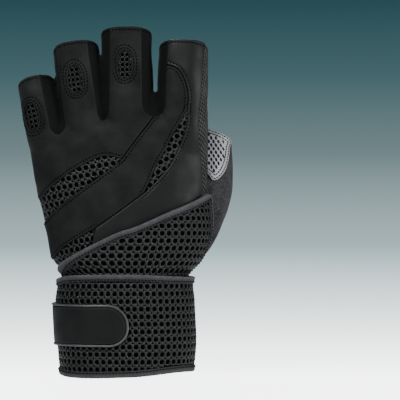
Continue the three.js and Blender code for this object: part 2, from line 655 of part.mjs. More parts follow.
// A band on the wrap: turns where it starts and ends, heights of its edges, and its corners' radii.
const wrapBand = {
  start: WRAP_START,
  end: WRAP_END,
  low: (turn) => wrapCurve(turn)[0] * WRAP_WIDTH,
  high: (turn) => wrapCurve(turn)[1] * WRAP_WIDTH,
  startRadius: 0,
  endRadius: WRAP_END_RADIUS,
};
const tabBand = {
  start: TAB_START,
  end: WRAP_END - (BINDING_WIDTH + GAP) * degreesPerMillimetre(WRAP_END),
  low: () => TAB_HEIGHT - TAB_WIDTH / 2,
  high: () => TAB_HEIGHT + TAB_WIDTH / 2,
  startRadius: TAB_WIDTH / 2 - 0.5,
  endRadius: TAB_END_RADIUS,
};
const hookBand = { ...wrapBand, start: HOOK_START, startRadius: HOOK_RADIUS };

// Where a band inset by a distance starts and ends, and how round its corners are.
function bandEnds(band, inset) {
  const startScale = degreesPerMillimetre(band.start + SCALE_REACH);
  const endScale = degreesPerMillimetre(band.end - SCALE_REACH);
  return {
    start: band.start + inset * startScale,
    end: band.end - inset * endScale,
    startRound: Math.max(0, band.startRadius - inset) * startScale,
    endRound: Math.max(0, band.endRadius - inset) * endScale,
    startScale,
    endScale,
  };
}

// The two edges of a band, inset by a distance, at a turn.
function bandColumn(band, inset, turn) {
  const { start, end, startRound, endRound, startScale, endScale } = bandEnds(band, inset);
  const rounded = (distance, radius) =>
    distance >= radius ? 0 : radius - Math.sqrt(Math.max(0, radius ** 2 - (radius - distance) ** 2));
  const fromStart = rounded(turn - start, startRound) / startScale;
  const fromEnd = rounded(end - turn, endRound) / endScale;
  const cut = inset + Math.max(fromStart, fromEnd);
  return { turn, low: band.low(turn) + cut, high: band.high(turn) - cut };
}

// The turns at which a band has facets: round its corners, and at even steps between them.
function bandTurns(band, inset, width = 0) {
  const { start, end, startRound, endRound, startScale, endScale } = bandEnds(band, inset);
  const turns = [start, end];
  for (let i = 1; i <= CORNER_STEPS; i++) {
    const share = 1 - Math.cos((Math.PI * i) / 2 / CORNER_STEPS);
    if (startRound) turns.push(start + startRound * share);
    if (endRound) turns.push(end - endRound * share);
  }
  const step = 360 / RING_POINTS;
  const clear = step / 4;
  const from = start + Math.max(startRound, width * startScale) + clear;
  const to = end - Math.max(endRound, width * endScale) - clear;
  for (let turn = Math.ceil(from / step) * step; turn < to; turn += step) turns.push(turn);
  return turns.sort((a, b) => a - b);
}

// The turn on a band's inner outline, "width" further in, that matches one on its outer outline.
function matchingTurn(band, inset, width, turn) {
  const outer = bandEnds(band, inset);
  const inner = bandEnds(band, inset + width);
  const share = (round, distance) => (round > distance ? distance / round : 1);
  if (turn < outer.start + outer.startRound) {
    return inner.start + inner.startRound * share(outer.startRound, turn - outer.start);
  }
  if (turn > outer.end - outer.endRound) {
    return inner.end - inner.endRound * share(outer.endRound, outer.end - turn);
  }
  return clamp(turn, inner.start, inner.end);
}

// A plate on the wrap that fills a band, between two distances from the wrap's inner face.
function plate(band, inset, from, to) {
  const rows = bandTurns(band, inset).map((at) => {
    const { turn, low, high } = bandColumn(band, inset, at);
    const heights = [];
    for (let i = 0; i <= WRAP_STEPS_ACROSS; i++) heights.push(low + ((high - low) * i) / WRAP_STEPS_ACROSS);
    const inner = heights.map((height) => wrapPoint(turn, height, from));
    const outer = heights.map((height) => wrapPoint(turn, height, to));
    return [...inner, ...outer.reverse()];
  });
  return gridSolid(rows);
}

// A tape along a band's outline, "width" wide, between two distances from the wrap's inner face.
function tape(band, inset, width, from, to) {
  const pairs = bandTurns(band, inset, width).map((turn) => [
    bandColumn(band, inset, turn),
    bandColumn(band, inset + width, matchingTurn(band, inset, width, turn)),
  ]);
  // A place round the outline: a column of the band, and a share of the way up it.
  const places = pairs.map((_, i) => [i, 1]);
  for (let i = 1; i < WRAP_STEPS_ACROSS; i++) places.push([pairs.length - 1, 1 - i / WRAP_STEPS_ACROSS]);
  places.push(...pairs.map((_, i) => [pairs.length - 1 - i, 0]));
  for (let i = 1; i < WRAP_STEPS_ACROSS; i++) places.push([0, i / WRAP_STEPS_ACROSS]);
  const rows = places.map(([i, share]) => {
    const [outer, inner] = pairs[i];
    const at = (column, lift) => wrapPoint(column.turn, THREE.MathUtils.lerp(column.low, column.high, share), lift);
    return [at(outer, from), at(outer, to), at(inner, to), at(inner, from)];
  });
  return gridSolid(rows, { loop: true });
}

const materials = {
  leather: new THREE.MeshStandardMaterial({ color: 0x232324, roughness: 0.55, metalness: 0 }),
  smooth_leather: new THREE.MeshStandardMaterial({ color: 0x2b2b2d, roughness: 0.45, metalness: 0 }),
  fabric: new THREE.MeshStandardMaterial({ color: 0x18181a, roughness: 0.9, metalness: 0 }),
  knit: new THREE.MeshStandardMaterial({ color: 0x2c2b2e, roughness: 0.95, metalness: 0 }),
  mesh: new THREE.MeshStandardMaterial({ color: 0x1c1c1e, roughness: 0.8, metalness: 0 }),
  binding: new THREE.MeshStandardMaterial({ color: 0x4a4a4d, roughness: 0.8, metalness: 0 }),
  grip: new THREE.MeshStandardMaterial({ color: 0x77767b, roughness: 0.5, metalness: 0.1 }),
  rubber: new THREE.MeshStandardMaterial({ color: 0x1d1d20, roughness: 0.5, metalness: 0 }),
  hook: new THREE.MeshStandardMaterial({ color: 0x0e0e0f, roughness: 1, metalness: 0 }),
};

const glove = new THREE.Group();
function addPiece(name, solid, material) {
  const { vertProperties, triVerts } = largest(solid).getMesh();
  const geometry = new THREE.BufferGeometry();
  geometry.setAttribute("position", new THREE.BufferAttribute(vertProperties, 3));
  geometry.setIndex(new THREE.BufferAttribute(triVerts, 1));
  geometry.computeVertexNormals();
  const mesh = new THREE.Mesh(geometry, materials[material]);
  mesh.name = name;
  glove.add(mesh);
}

const vented = FINGERS.filter((finger) => finger.vent);
const ventHoles = joined(vented.map((finger) => backCutter(ventOutline(finger), GAP / 2)));
addPiece("back_panel", panel(backOutlines.back_panel, LEATHER, backCutter).subtract(ventHoles), "leather");
for (const finger of vented) {
  addPiece(`${finger.name}_vent`, panel(ventOutline(finger), AIR_MESH, backCutter), "mesh");
}
addPiece("back_mesh_window", panel(backOutlines.back_mesh_window, AIR_MESH, backCutter), "mesh");
addPiece("arc_mesh_window", panel(backOutlines.arc_mesh_window, AIR_MESH, backCutter), "mesh");
addPiece("low_mesh_window", panel(backOutlines.low_mesh_window, AIR_MESH, backCutter), "mesh");
addPiece("knuckle_pad", panel(backOutlines.knuckle_pad, PAD, backCutter), "leather");
addPiece("index_panel", panel(backOutlines.index_panel, LEATHER, backCutter), "smooth_leather");
addPiece("palm_grip", panel(palmOutlines.palm_grip, LEATHER, palmCutter), "grip");
addPiece("heel_pad", panel(palmOutlines.heel_pad, PAD, palmCutter), "grip");

FINGERS.slice(0, -1).forEach((left, i) => {
  const right = FINGERS[i + 1];
  addPiece(`${left.name}_${right.name}_gusset`, sideWall.intersect(betweenFingers(left, right)), "fabric");
});
addPiece("little_side_gusset", sideWall.intersect(littleSide), "fabric");
addPiece("index_side_gusset", sideWall.intersect(indexSide).subtract(gussetLimit), "knit");
addPiece("thumb_stall", thumbStall(), "fabric");
addPiece("thumb_tongue", thumbTongue(), "grip");
addPiece("cuff", wall(CUFF_WALL).subtract(aboveSeam(GAP)), "fabric");

const bindingInset = BINDING_WIDTH + GAP;
const onWrap = WRAP_THICK + GAP;
addPiece("wrist_wrap", plate(wrapBand, bindingInset, 0, WRAP_THICK), "mesh");
addPiece("wrap_binding", tape(wrapBand, 0, BINDING_WIDTH, 0, WRAP_THICK + BINDING_PROUD), "binding");
addPiece("closing_tab", plate(tabBand, RIM_WIDTH + GAP, onWrap, onWrap + TAB_THICK), "rubber");
addPiece("tab_rim", tape(tabBand, 0, RIM_WIDTH, onWrap, onWrap + TAB_THICK + RIM_PROUD), "binding");
addPiece("hook_pad", plate(hookBand, bindingInset, -GAP - HOOK_THICK, -GAP), "hook");

export default glove;
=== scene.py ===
# %% [markdown]
# # Dressing a weightlifting glove
# The CAD frame gives this glove's solids: panels, pads, gussets, a thumb stall, a cuff and a long wrist wrap.
# This notebook makes what cloth and leather add to them. Every piece is built in millimetres in the same
# frame as the CAD, and is turned into metres when its mesh is made, so nothing has to be moved into place.

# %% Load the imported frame
import math
import bpy
import numpy as np
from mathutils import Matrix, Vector, noise
from mathutils.bvhtree import BVHTree
from mathutils.kdtree import KDTree


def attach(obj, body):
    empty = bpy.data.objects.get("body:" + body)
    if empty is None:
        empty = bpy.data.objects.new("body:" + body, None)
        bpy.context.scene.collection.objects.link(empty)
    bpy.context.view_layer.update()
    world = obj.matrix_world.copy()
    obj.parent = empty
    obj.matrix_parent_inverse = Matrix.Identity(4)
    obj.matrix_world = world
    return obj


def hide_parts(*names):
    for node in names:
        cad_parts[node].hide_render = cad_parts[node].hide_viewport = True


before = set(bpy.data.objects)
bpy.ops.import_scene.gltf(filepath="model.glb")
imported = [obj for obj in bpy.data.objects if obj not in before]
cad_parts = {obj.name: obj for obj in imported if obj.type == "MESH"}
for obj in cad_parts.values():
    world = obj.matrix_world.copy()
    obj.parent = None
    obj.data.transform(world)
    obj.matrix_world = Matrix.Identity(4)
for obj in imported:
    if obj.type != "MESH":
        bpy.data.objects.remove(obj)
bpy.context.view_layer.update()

MM = 0.001

# %% [markdown]
# ## The camera
# It looks straight at the back of the hand, from far enough that the fingers keep their true proportions.
# The frame is 216 mm wide at the glove, and the glove stands left of its middle. The camera comes first,
# because it decides how fine each later detail has to be: one pixel is about half a millimetre.

# %% Camera
VIEW_WIDTH, SENSOR_WIDTH = 0.216, 36.0
CAMERA_AT = Vector((0.0394, -1.3, 0.0945))


def placed(name, data):
    """An object in the scene from a mesh, a light or a camera."""
    made = bpy.data.objects.new(name, data)
    bpy.context.collection.objects.link(made)
    return made


camera_data = bpy.data.cameras.new("camera")
camera_data.sensor_width = SENSOR_WIDTH
camera_data.lens = SENSOR_WIDTH * -CAMERA_AT.y / VIEW_WIDTH
camera = placed("camera", camera_data)
camera.location = CAMERA_AT
camera.rotation_euler = (math.pi / 2, 0, 0)
bpy.context.scene.camera = camera
print("camera lens:", round(camera_data.lens, 1), "mm")

# %% [markdown]
# ## The hand's form
# A glove is cut flat, but it is finished on a last, a solid hand that stretches its panels into shape. The
# same idea works here. The form is lofted from a few sections, whose numbers repeat the CAD source's but for
# a few that were bettered here, so the soft panels lie where the solids are, within a few millimetres.
# Heights are shares of the body's height, and the others are shares of the palm's or the wrist's width and
# depth.

# %% Sizes of the form
BODY_HEIGHT = 138.0
PALM_WIDTH, PALM_DEPTH = 93.0, 30.0
WRIST_WIDTH, WRIST_DEPTH = 57.0, 41.0
CUFF_HEM = 16.0
CUFF_SEAM_BACK, CUFF_SEAM_PALM = 54.0, 64.0
KNUCKLE_SLOPE, SLOPE_START, KNUCKLE_HEIGHT = 0.1, 0.7, 0.928
FINGER_LENGTH, FINGER_WIDTH, FINGER_DEPTH = 58.0, 24.2, 21.0
FINGER_BEND, FINGER_FLARE, FINGER_ROOT, FINGER_HEM_DROP = 4.5, 1.1, 0.85, 4.5
THUMB_HEIGHT, THUMB_LENGTH, THUMB_WIDTH, THUMB_DEPTH, THUMB_HEM_DROP = 62.0, 68.0, 24.0, 23.0, 5.0
LEATHER, PAD, GAP = 2.2, 3.2, 0.3
SQUARENESS = 0.84
FORM_ROWS = [
    # height, of the palm, little, thumb, thumb under the wrap, back, palm
    (0.0, 0, 0.46, 0.455, 0.455, 0.48, 0.5),
    (0.12, 0, 0.485, 0.485, 0.485, 0.49, 0.51),
    (0.29, 0, 0.505, 0.47, 0.47, 0.47, 0.51),
    (0.385, 1, 0.308, 0.287, 0.287, 0.6, 0.68),
    (0.45, 1, 0.405, 0.345, 0.37, 0.59, 0.69),
    (0.55, 1, 0.435, 0.39, 0.435, 0.56, 0.66),
    (0.67, 1, 0.485, 0.43, 0.45, 0.53, 0.58),
    (0.83, 1, 0.524, 0.452, 0.452, 0.49, 0.47),
    (0.95, 1, 0.542, 0.455, 0.455, 0.42, 0.39),
]
WEB_ROWS = [(0.0, 1.0), (0.08, 0.93), (0.15, 0.83), (0.22, 0.71), (0.28, 0.58), (0.34, 0.3)]
FINGERS = [
    dict(name="little", root=-0.459, length=0.545, width=0.7, depth=0.8, lean=11.5,
         strip=(-0.9, 0.27), grip=(-0.62, 0.85), vent=-0.5),
    dict(name="ring", root=-0.226, length=0.872, width=0.9, depth=0.95, lean=8.0,
         strip=(-0.74, 0.52), grip=(-0.4, 0.85), vent=-0.15),
    dict(name="middle", root=0.0, length=1.0, width=1.0, depth=1.0, lean=0.3,
         strip=(-0.58, 0.56), grip=(-0.6, 0.86), vent=-0.05),
    dict(name="index", root=0.316, length=0.878, width=0.955, depth=0.98, lean=-1.2,
         strip=(-0.6, 0.83), grip=(-0.72, 0.9)),
]
THUMB_ROWS = [
    # rise, across, forward, width
    (-0.08, 0.2, 0.1, 0.75),
    (0.06, 0.258, 0.23, 0.98),
    (0.21, 0.333, 0.35, 1.19),
    (0.39, 0.396, 0.52, 1.25),
    (0.6, 0.44, 0.72, 1.25),
    (0.75, 0.457, 0.88, 1.13),
    (0.91, 0.467, 1.05, 1.04),
    (1.0, 0.478, 1.15, 1.0),
]


def squared(value):
    """Between a circle's sine and a square's: it makes the sections a little squarer than round."""
    return np.sign(value) * np.abs(value) ** SQUARENESS


def eased(value, start, end):
    """0 before start, 1 after end, and smooth between them."""
    share = np.clip((np.asarray(value, float) - start) / (end - start), 0, 1)
    return share * share * (3 - 2 * share)


def table_curve(places, rows):
    """A smooth function through the rows of a table, with straight ends."""
    t, v = np.asarray(places, float), np.asarray(rows, float)

    def at(x):
        x = np.clip(np.atleast_1d(np.asarray(x, float)), t[0], t[-1])
        i1 = np.clip(np.searchsorted(t, x, side="right"), 1, len(t) - 1)
        i0 = i1 - 1
        before = np.where(i0 > 0, i0 - 1, i1)
        after = np.where(i1 < len(t) - 1, np.minimum(i1 + 1, len(t) - 1), i0)
        span = t[i1] - t[i0]
        pull = span / 2 / (t[i0] - t[before])
        push = span / 2 / (t[after] - t[i1])
        p = (x - t[i0]) / span
        weights = (
            -pull * p**3 + 2 * pull * p**2 - pull * p,
            (1 + pull) * p**3 + (-1.5 - 2 * pull) * p**2 + (-0.5 + pull) * p + 1,
            (-1 - push) * p**3 + (1.5 + push) * p**2 + 0.5 * p,
            push * p**3 - push * p**2,
        )
        return sum(w[:, None] * v[i] for w, i in zip(weights, (before, i0, i1, after)))

    return at


FORM_SIZES = [3 * (WRIST_WIDTH,) + 2 * (WRIST_DEPTH,), 3 * (PALM_WIDTH,) + 2 * (PALM_DEPTH,)]
FORM_TOP = FORM_ROWS[-1][0] * BODY_HEIGHT
form_curve = table_curve(
    [row[0] * BODY_HEIGHT for row in FORM_ROWS],
    [np.multiply(row[2:], FORM_SIZES[row[1]]) for row in FORM_ROWS],
)


def form_point(turn, height, out, under_wrap=False, depth_share=1.0):
    """Points round the form. A turn of 0 is at the thumb, 90 at the back and 180 at the little finger."""
    turn, height = np.broadcast_arrays(np.asarray(turn, float), np.asarray(height, float))
    rows = form_curve(height.ravel()).reshape(*height.shape, 5)
    little, thumb = rows[..., 0], rows[..., 2 if under_wrap else 1]
    across, towards_back = np.cos(np.radians(turn)), np.sin(np.radians(turn))
    depth = np.where(towards_back > 0, rows[..., 3], rows[..., 4]) * depth_share + out
    x = (thumb - little) / 2 + ((thumb + little) / 2 + out) * squared(across)
    return np.stack([x, -depth * squared(towards_back), height], -1)


print("palm half widths in mm:", form_curve(0.83 * BODY_HEIGHT)[0, :2].round(1))

# %% [markdown]
# ## Lofts
# Each part of the hand is a stack of rings: one loft for palm and wrist, one for each finger and one for the
# thumb. They run past their hems, so that the hems can be cut clean afterwards. The sheet that they make is
# the middle of the glove's wall, and every panel is later thickened outwards and inwards from it.

# %% Loft the parts of the hand
MIDDLE = 1.1  # the middle of the wall lies this far outside the hollow, in mm
RING, STATIONS = 72, 18  # points round the hand, and rings along a finger
PAST_HEM = 6.0


def unit(vectors):
    return vectors / np.linalg.norm(vectors, axis=-1, keepdims=True)


def loft(rings):
    """A closed mesh from rings of points, with its two ends filled."""
    count = len(rings[0])
    points = np.concatenate(rings)
    faces = []
    for i in range(len(rings) - 1):
        for j in range(count):
            k = (j + 1) % count
            faces.append((i * count + j, i * count + k, (i + 1) * count + k, (i + 1) * count + j))
    faces.append(tuple(range(count))[::-1])
    faces.append(tuple(range((len(rings) - 1) * count, len(rings) * count)))
    return points, faces


def body_loft(out):
    turns = np.linspace(0, 360, RING, endpoint=False)
    levels = [(h, 1.0) for h in np.arange(CUFF_HEM - PAST_HEM, FORM_TOP - 1, 2.0)]
    levels += [(FORM_TOP + rise * PALM_DEPTH, depth) for rise, depth in WEB_ROWS]
    rings = []
    for height, depth in levels:
        lean = KNUCKLE_SLOPE * eased(height / BODY_HEIGHT, SLOPE_START, 1)
        ring = form_point(turns, min(height, FORM_TOP), out, depth_share=depth)
        ring[:, 2] = height + lean * ring[:, 0] + out * (height > FORM_TOP)
        rings.append(ring)
    return loft(rings)


def finger_line(finger, along):
    """A finger's middle line and its half sizes, at a distance above its knuckle."""
    share = along / (finger["length"] * FINGER_LENGTH)
    lean = math.radians(finger["lean"])
    centre = np.array([
        finger["root"] * PALM_WIDTH - along * math.sin(lean),
        -1 + FINGER_BEND * np.sign(share) * share**2,
        KNUCKLE_HEIGHT * BODY_HEIGHT + along * math.cos(lean),
    ])
    if share < 0:
        flare = np.interp(share, [-0.2, 0], [FINGER_ROOT, FINGER_FLARE]) / 2
    else:
        flare = np.interp(share, [0, 1], [FINGER_FLARE, 1]) / 2
    return centre, finger["width"] * FINGER_WIDTH * flare, finger["depth"] * FINGER_DEPTH * flare


def axes_along(centres):
    """For each station of a path: the way along it, across it and forward, towards the palm."""
    along = unit(np.gradient(np.asarray(centres), axis=0))
    forward = unit(np.array([0.0, 1.0, 0.0]) - along * along[:, 1:2])
    return along, np.cross(forward, along), forward


def stall_loft(centres, half_widths, half_depths, out):
    angles = np.linspace(0, 2 * math.pi, RING // 2, endpoint=False)
    along, across, forward = axes_along(centres)
    rings = []
    for i, centre in enumerate(centres):
        wide = (half_widths[i] + out) * squared(np.cos(angles))
        deep = (half_depths[i] + out) * squared(np.sin(angles))
        rings.append(centre + wide[:, None] * across[i] + deep[:, None] * forward[i])
    return loft(rings)


def finger_loft(finger, out):
    reach = finger["length"] * FINGER_LENGTH
    stations = [finger_line(finger, along) for along in np.linspace(-0.2 * reach, reach + PAST_HEM, STATIONS)]
    return stall_loft(*zip(*stations), out)


WEB_FILL_ROWS = [
    # rise above the middle finger's knuckle, half width, half depth
    (6.0, 5.0, 8.5),
    (14.0, 3.4, 7.5),
    (20.0, 1.6, 6.0),
    (24.0, 0.3, 4.5),
]


def web_fill(left, right, out):
    """The stretch web that closes the bottom of the gap between two fingers."""
    rises, wide, deep = np.array(WEB_FILL_ROWS).T
    centres = []
    for rise in rises:
        (here, half, _), (there, other_half, _) = finger_line(left, rise), finger_line(right, rise)
        centres.append((here + there) / 2 + np.array([(half - other_half) / 2, 0, 0]))
    return stall_loft(np.array(centres), wide, deep, out)


thumb_curve = table_curve([row[0] for row in THUMB_ROWS], [row[1:] for row in THUMB_ROWS])


def thumb_stations():
    """The thumb's stations, carried straight on past its hem."""
    rises = np.linspace(-0.08, 1, 22)
    across, forward, width = thumb_curve(rises).T
    centres = np.stack([across * PALM_WIDTH, forward * PALM_DEPTH, THUMB_HEIGHT + rises * THUMB_LENGTH], 1)
    beyond = centres[-1] + unit(centres[-1] - centres[-2]) * PAST_HEM
    return np.vstack([centres, beyond]), np.append(width, width[-1]) / 2


thumb_centres, thumb_halves = thumb_stations()
hand_lofts = [body_loft(MIDDLE)] + [finger_loft(finger, MIDDLE) for finger in FINGERS]
hand_lofts.append(web_fill(FINGERS[2], FINGERS[3], MIDDLE))
thumb_loft = stall_loft(thumb_centres, thumb_halves * THUMB_WIDTH, thumb_halves * THUMB_DEPTH, MIDDLE)
print("lofts:", len(hand_lofts) + 1, "with", sum(len(p) for p, f in hand_lofts + [thumb_loft]), "points")

# %% [markdown]
# ## One skin from many lofts
# The lofts run into each other. A voxel remesh joins them and leaves one even skin, the way that a plaster
# cast would. Its steps are then smoothed away: a move inwards and a slightly larger one outwards by turns
# keeps the volume, where plain smoothing would shrink the fingers.

# %% Join the lofts
VOXEL = 0.85


def joined(parts):
    points, faces, start = [], [], 0
    for part_points, part_faces in parts:
        points.append(part_points)
        faces += [tuple(i + start for i in face) for face in part_faces]
        start += len(part_points)
    return np.concatenate(points), faces


def plain_mesh(name, points, faces):
    mesh = bpy.data.meshes.new(name)
    mesh.from_pydata((np.asarray(points) * MM).tolist(), [], [tuple(map(int, f)) for f in faces])
    mesh.validate()
    return mesh


def evaluated_copy(obj):
    """What an object's modifiers make, as a mesh of its own."""
    graph = bpy.context.evaluated_depsgraph_get()
    return bpy.data.meshes.new_from_object(obj.evaluated_get(graph))


def mesh_arrays(mesh):
    """A mesh's points in mm and its triangles."""
    points = np.empty(len(mesh.vertices) * 3, np.float32)
    mesh.vertices.foreach_get("co", points)
    mesh.calc_loop_triangles()
    triangles = np.empty(len(mesh.loop_triangles) * 3, np.int32)
    mesh.loop_triangles.foreach_get("vertices", triangles)
    return points.reshape(-1, 3).astype(float) / MM, triangles.reshape(-1, 3)


last = placed("last", plain_mesh("last", *joined(hand_lofts + [thumb_loft])))
remesh = last.modifiers.new("remesh", "REMESH")
remesh.mode = "VOXEL"
remesh.voxel_size = VOXEL * MM
skin_mesh = evaluated_copy(last)
bpy.data.objects.remove(last)
skin_points, skin_faces = mesh_arrays(skin_mesh)
bpy.data.meshes.remove(skin_mesh)
print("skin:", len(skin_points), "points,", len(skin_faces), "triangles")


# %% Smooth the skin
SMOOTHING = 22 * [0.6, -0.62]  # inwards and outwards by turns


def edges_of(faces, rim=False):
    """The edges of triangles, each once, or only those on the rim, which one triangle alone uses."""
    pairs = np.sort(np.concatenate([faces[:, [0, 1]], faces[:, [1, 2]], faces[:, [2, 0]]]), axis=1)
    edges, uses = np.unique(pairs, axis=0, return_counts=True)
    return edges[uses == 1] if rim else edges


def averaged(values):
    """Each skin point's mean of its neighbours' values."""
    total = np.zeros_like(values)
    for a, b in (skin_edges.T, skin_edges.T[::-1]):
        for k in range(values.shape[1]):
            total[:, k] += np.bincount(a, values[b, k], len(values))
    return total / np.bincount(skin_edges.ravel(), minlength=len(values))[:, None]


def normals_of(points, faces):
    corners = points[faces]
    face_normals = np.cross(corners[:, 1] - corners[:, 0], corners[:, 2] - corners[:, 0])
    normals = np.zeros_like(points)
    for k in range(3):
        for j in range(3):
            normals[:, k] += np.bincount(faces[:, j], face_normals[:, k], len(points))
    return unit(normals + 1e-12)


skin_edges = edges_of(skin_faces)
for amount in [0.5] + SMOOTHING:
    skin_points = skin_points + amount * (averaged(skin_points) - skin_points)
skin_normals = unit(averaged(averaged(normals_of(skin_points, skin_faces))))
print("skin smoothed, box in mm:", skin_points.min(0).round(1), skin_points.max(0).round(1))

# %% [markdown]
# ## Soft unevenness
# Leather that a hand has stretched is never quite flat. The skin moves in and out by a fraction of a
# millimetre, in slow waves, from a noise whose place is fixed, so every run gives the same glove.

# %% Move the skin gently
WAVES = [(15.0, 0.62), (6.0, 0.2)]


wave = np.zeros(len(skin_points))
for size, height in WAVES:
    wave += [height * noise.noise(Vector(p) / size) for p in skin_points]
skin_points = skin_points + skin_normals * wave[:, None]
print("waves:", WAVES)

# %% [markdown]
# ## Seams on the flat drawing
# The panels were drawn flat, as seen from the back or from the palm, and each seam is a smooth curve through
# a few points of that drawing. Here the same curves are made again, closely sampled, because a seam is what
# the eye follows on a glove.

# %% Curves of the drawing
CURVE_STEPS = 8  # between each two points of a curve
EDGE = 0.985
PAST_DRAWING = 8.0  # mm by which the strips run past the hems
WEBS = [(0.939, 1.02), (0.99, 1.045), (1.006, 1.04)]
WEB_TURN = 0.045
PAD_SEAM = [(0.28, 0.959), (0.13, 0.892), (0.02, 0.841)]
WINDOW_UPPER = [(0.02, 0.841), (-0.18, 0.853), (-0.47, 0.81), (-0.78, 0.74), (-EDGE, 0.68)]
WINDOW_LOWER = [(0.02, 0.841), (-0.13, 0.802), (-0.43, 0.732), (-0.76, 0.657), (-EDGE, 0.6)]
INDEX_SEAM_TOP = [(0.55, 1.209), (0.65, 1.193), (0.72, 1.154), (0.76, 1.096), (0.755, 1.037)]
INDEX_SEAM_ARC = [(0.755, 1.037), (0.74, 0.967), (0.67, 0.9), (0.56, 0.822), (0.42, 0.763), (0.27, 0.712)]
INDEX_SEAM_LOW = [(0.27, 0.712), (-0.05, 0.636), (-0.35, 0.575)]
ARC_LEFT = [(0.755, 1.037), (0.66, 0.972), (0.57, 0.92), (0.49, 0.865), (0.4, 0.81), (0.34, 0.76),
            (0.27, 0.712)]
LOW_UPPER = [(-0.35, 0.575), (-0.58, 0.536), (-0.77, 0.501), (-EDGE, 0.452)]
THUMB_SIDE_SEAM = [(0.9, 1.115), (0.87, 0.959), (0.9, 0.841), (0.94, 0.716), (0.96, 0.607)]
PALM_EDGE = [(0.88, 0.93), (0.75, 0.86), (0.57, 0.82), (0.42, 0.812), (0.28, 0.84)]
HEEL_ARC = [(0.28, 0.84), (0.1, 0.868), (-0.08, 0.852), (-0.28, 0.81), (-0.45, 0.71), (-0.56, 0.62),
            (-0.63, 0.4)]
HEEL_INNER = [(0.1, 0.4), (0.2, 0.47), (0.25, 0.54), (0.25, 0.76), (0.28, 0.84)]
TONGUE = [(-0.75, -0.15), (0.44, -0.15), (0.43, 0.12), (0.36, 0.27), (0.22, 0.35), (0.06, 0.37), (-0.1, 0.31),
          (-0.75, 0.2)]


def drawn(point):
    """A point of the drawing in mm, from shares of the half width and of the height."""
    across, height = point
    little, thumb = form_curve(height * BODY_HEIGHT)[0, :2]
    return np.array([(thumb - little) / 2 + across * ((thumb + little) / 2 + LEATHER), height * BODY_HEIGHT])


def spline(points):
    """A smooth curve through points."""
    p = np.asarray(points, float)
    p = np.vstack([p[0], p, p[-1]])
    t = np.linspace(0, 1, CURVE_STEPS, endpoint=False)[:, None]
    spans = []
    for a, b, c, d in zip(p, p[1:], p[2:], p[3:]):
        leave, arrive = (c - a) / 2, (d - b) / 2
        cubed, squares = 2 * b - 2 * c + leave + arrive, 3 * c - 3 * b - 2 * leave - arrive
        spans.append((cubed * t + squares) * t * t + leave * t + b)
    return np.vstack([*spans, p[-1]])


def seam(points):
    return spline([drawn(point) for point in points])


def on_finger(finger, share, along):
    """A point on a finger's drawing: a share of its half width, at a distance above its knuckle."""
    centre, half_width, _ = finger_line(finger, along)
    lean = math.radians(finger["lean"])
    reach = share * (half_width + LEATHER)
    return np.array([centre[0] + reach * math.cos(lean), centre[2] + reach * math.sin(lean)])


def along_at(finger, height):
    return (height - KNUCKLE_HEIGHT * BODY_HEIGHT) / math.cos(math.radians(finger["lean"]))


def finger_strip(finger, edges, start_height, end_height):
    top = finger["length"] * FINGER_LENGTH + PAST_DRAWING
    return np.array([
        on_finger(finger, edges[0], along_at(finger, start_height)),
        on_finger(finger, edges[0], top),
        on_finger(finger, edges[1], top),
        on_finger(finger, edges[1], along_at(finger, end_height)),
    ])


def web_turn(left, left_edge, right, right_edge, height):
    """The seam's turn round the web between two fingers."""
    rise = WEB_TURN * BODY_HEIGHT
    start = on_finger(left, left_edge, along_at(left, height + rise))
    end = on_finger(right, right_edge, along_at(right, height + rise))
    low = np.array([(start[0] + end[0]) / 2, height])
    inner = [np.array([p[0] + (low[0] - p[0]) * 0.25, height + rise * 0.4]) for p in (start, end)]
    return spline([start, inner[0], low, inner[1], end])


def over_fingers(fingers, edge, web, first_height, last_height):
    """The upper outline over some neighbouring fingers, from its first height to its last."""
    lines = []
    for k, finger in enumerate(fingers):
        i = FINGERS.index(finger)
        start = first_height if k == 0 else (WEBS[i - 1][web] + WEB_TURN) * BODY_HEIGHT
        end = last_height if k == len(fingers) - 1 else (WEBS[i][web] + WEB_TURN) * BODY_HEIGHT
        lines.append(finger_strip(finger, finger[edge], start, end))
        if k < len(fingers) - 1:
            right = fingers[k + 1]
            lines.append(web_turn(finger, finger[edge][1], right, right[edge][0], WEBS[i][web] * BODY_HEIGHT))
    return np.vstack(lines)


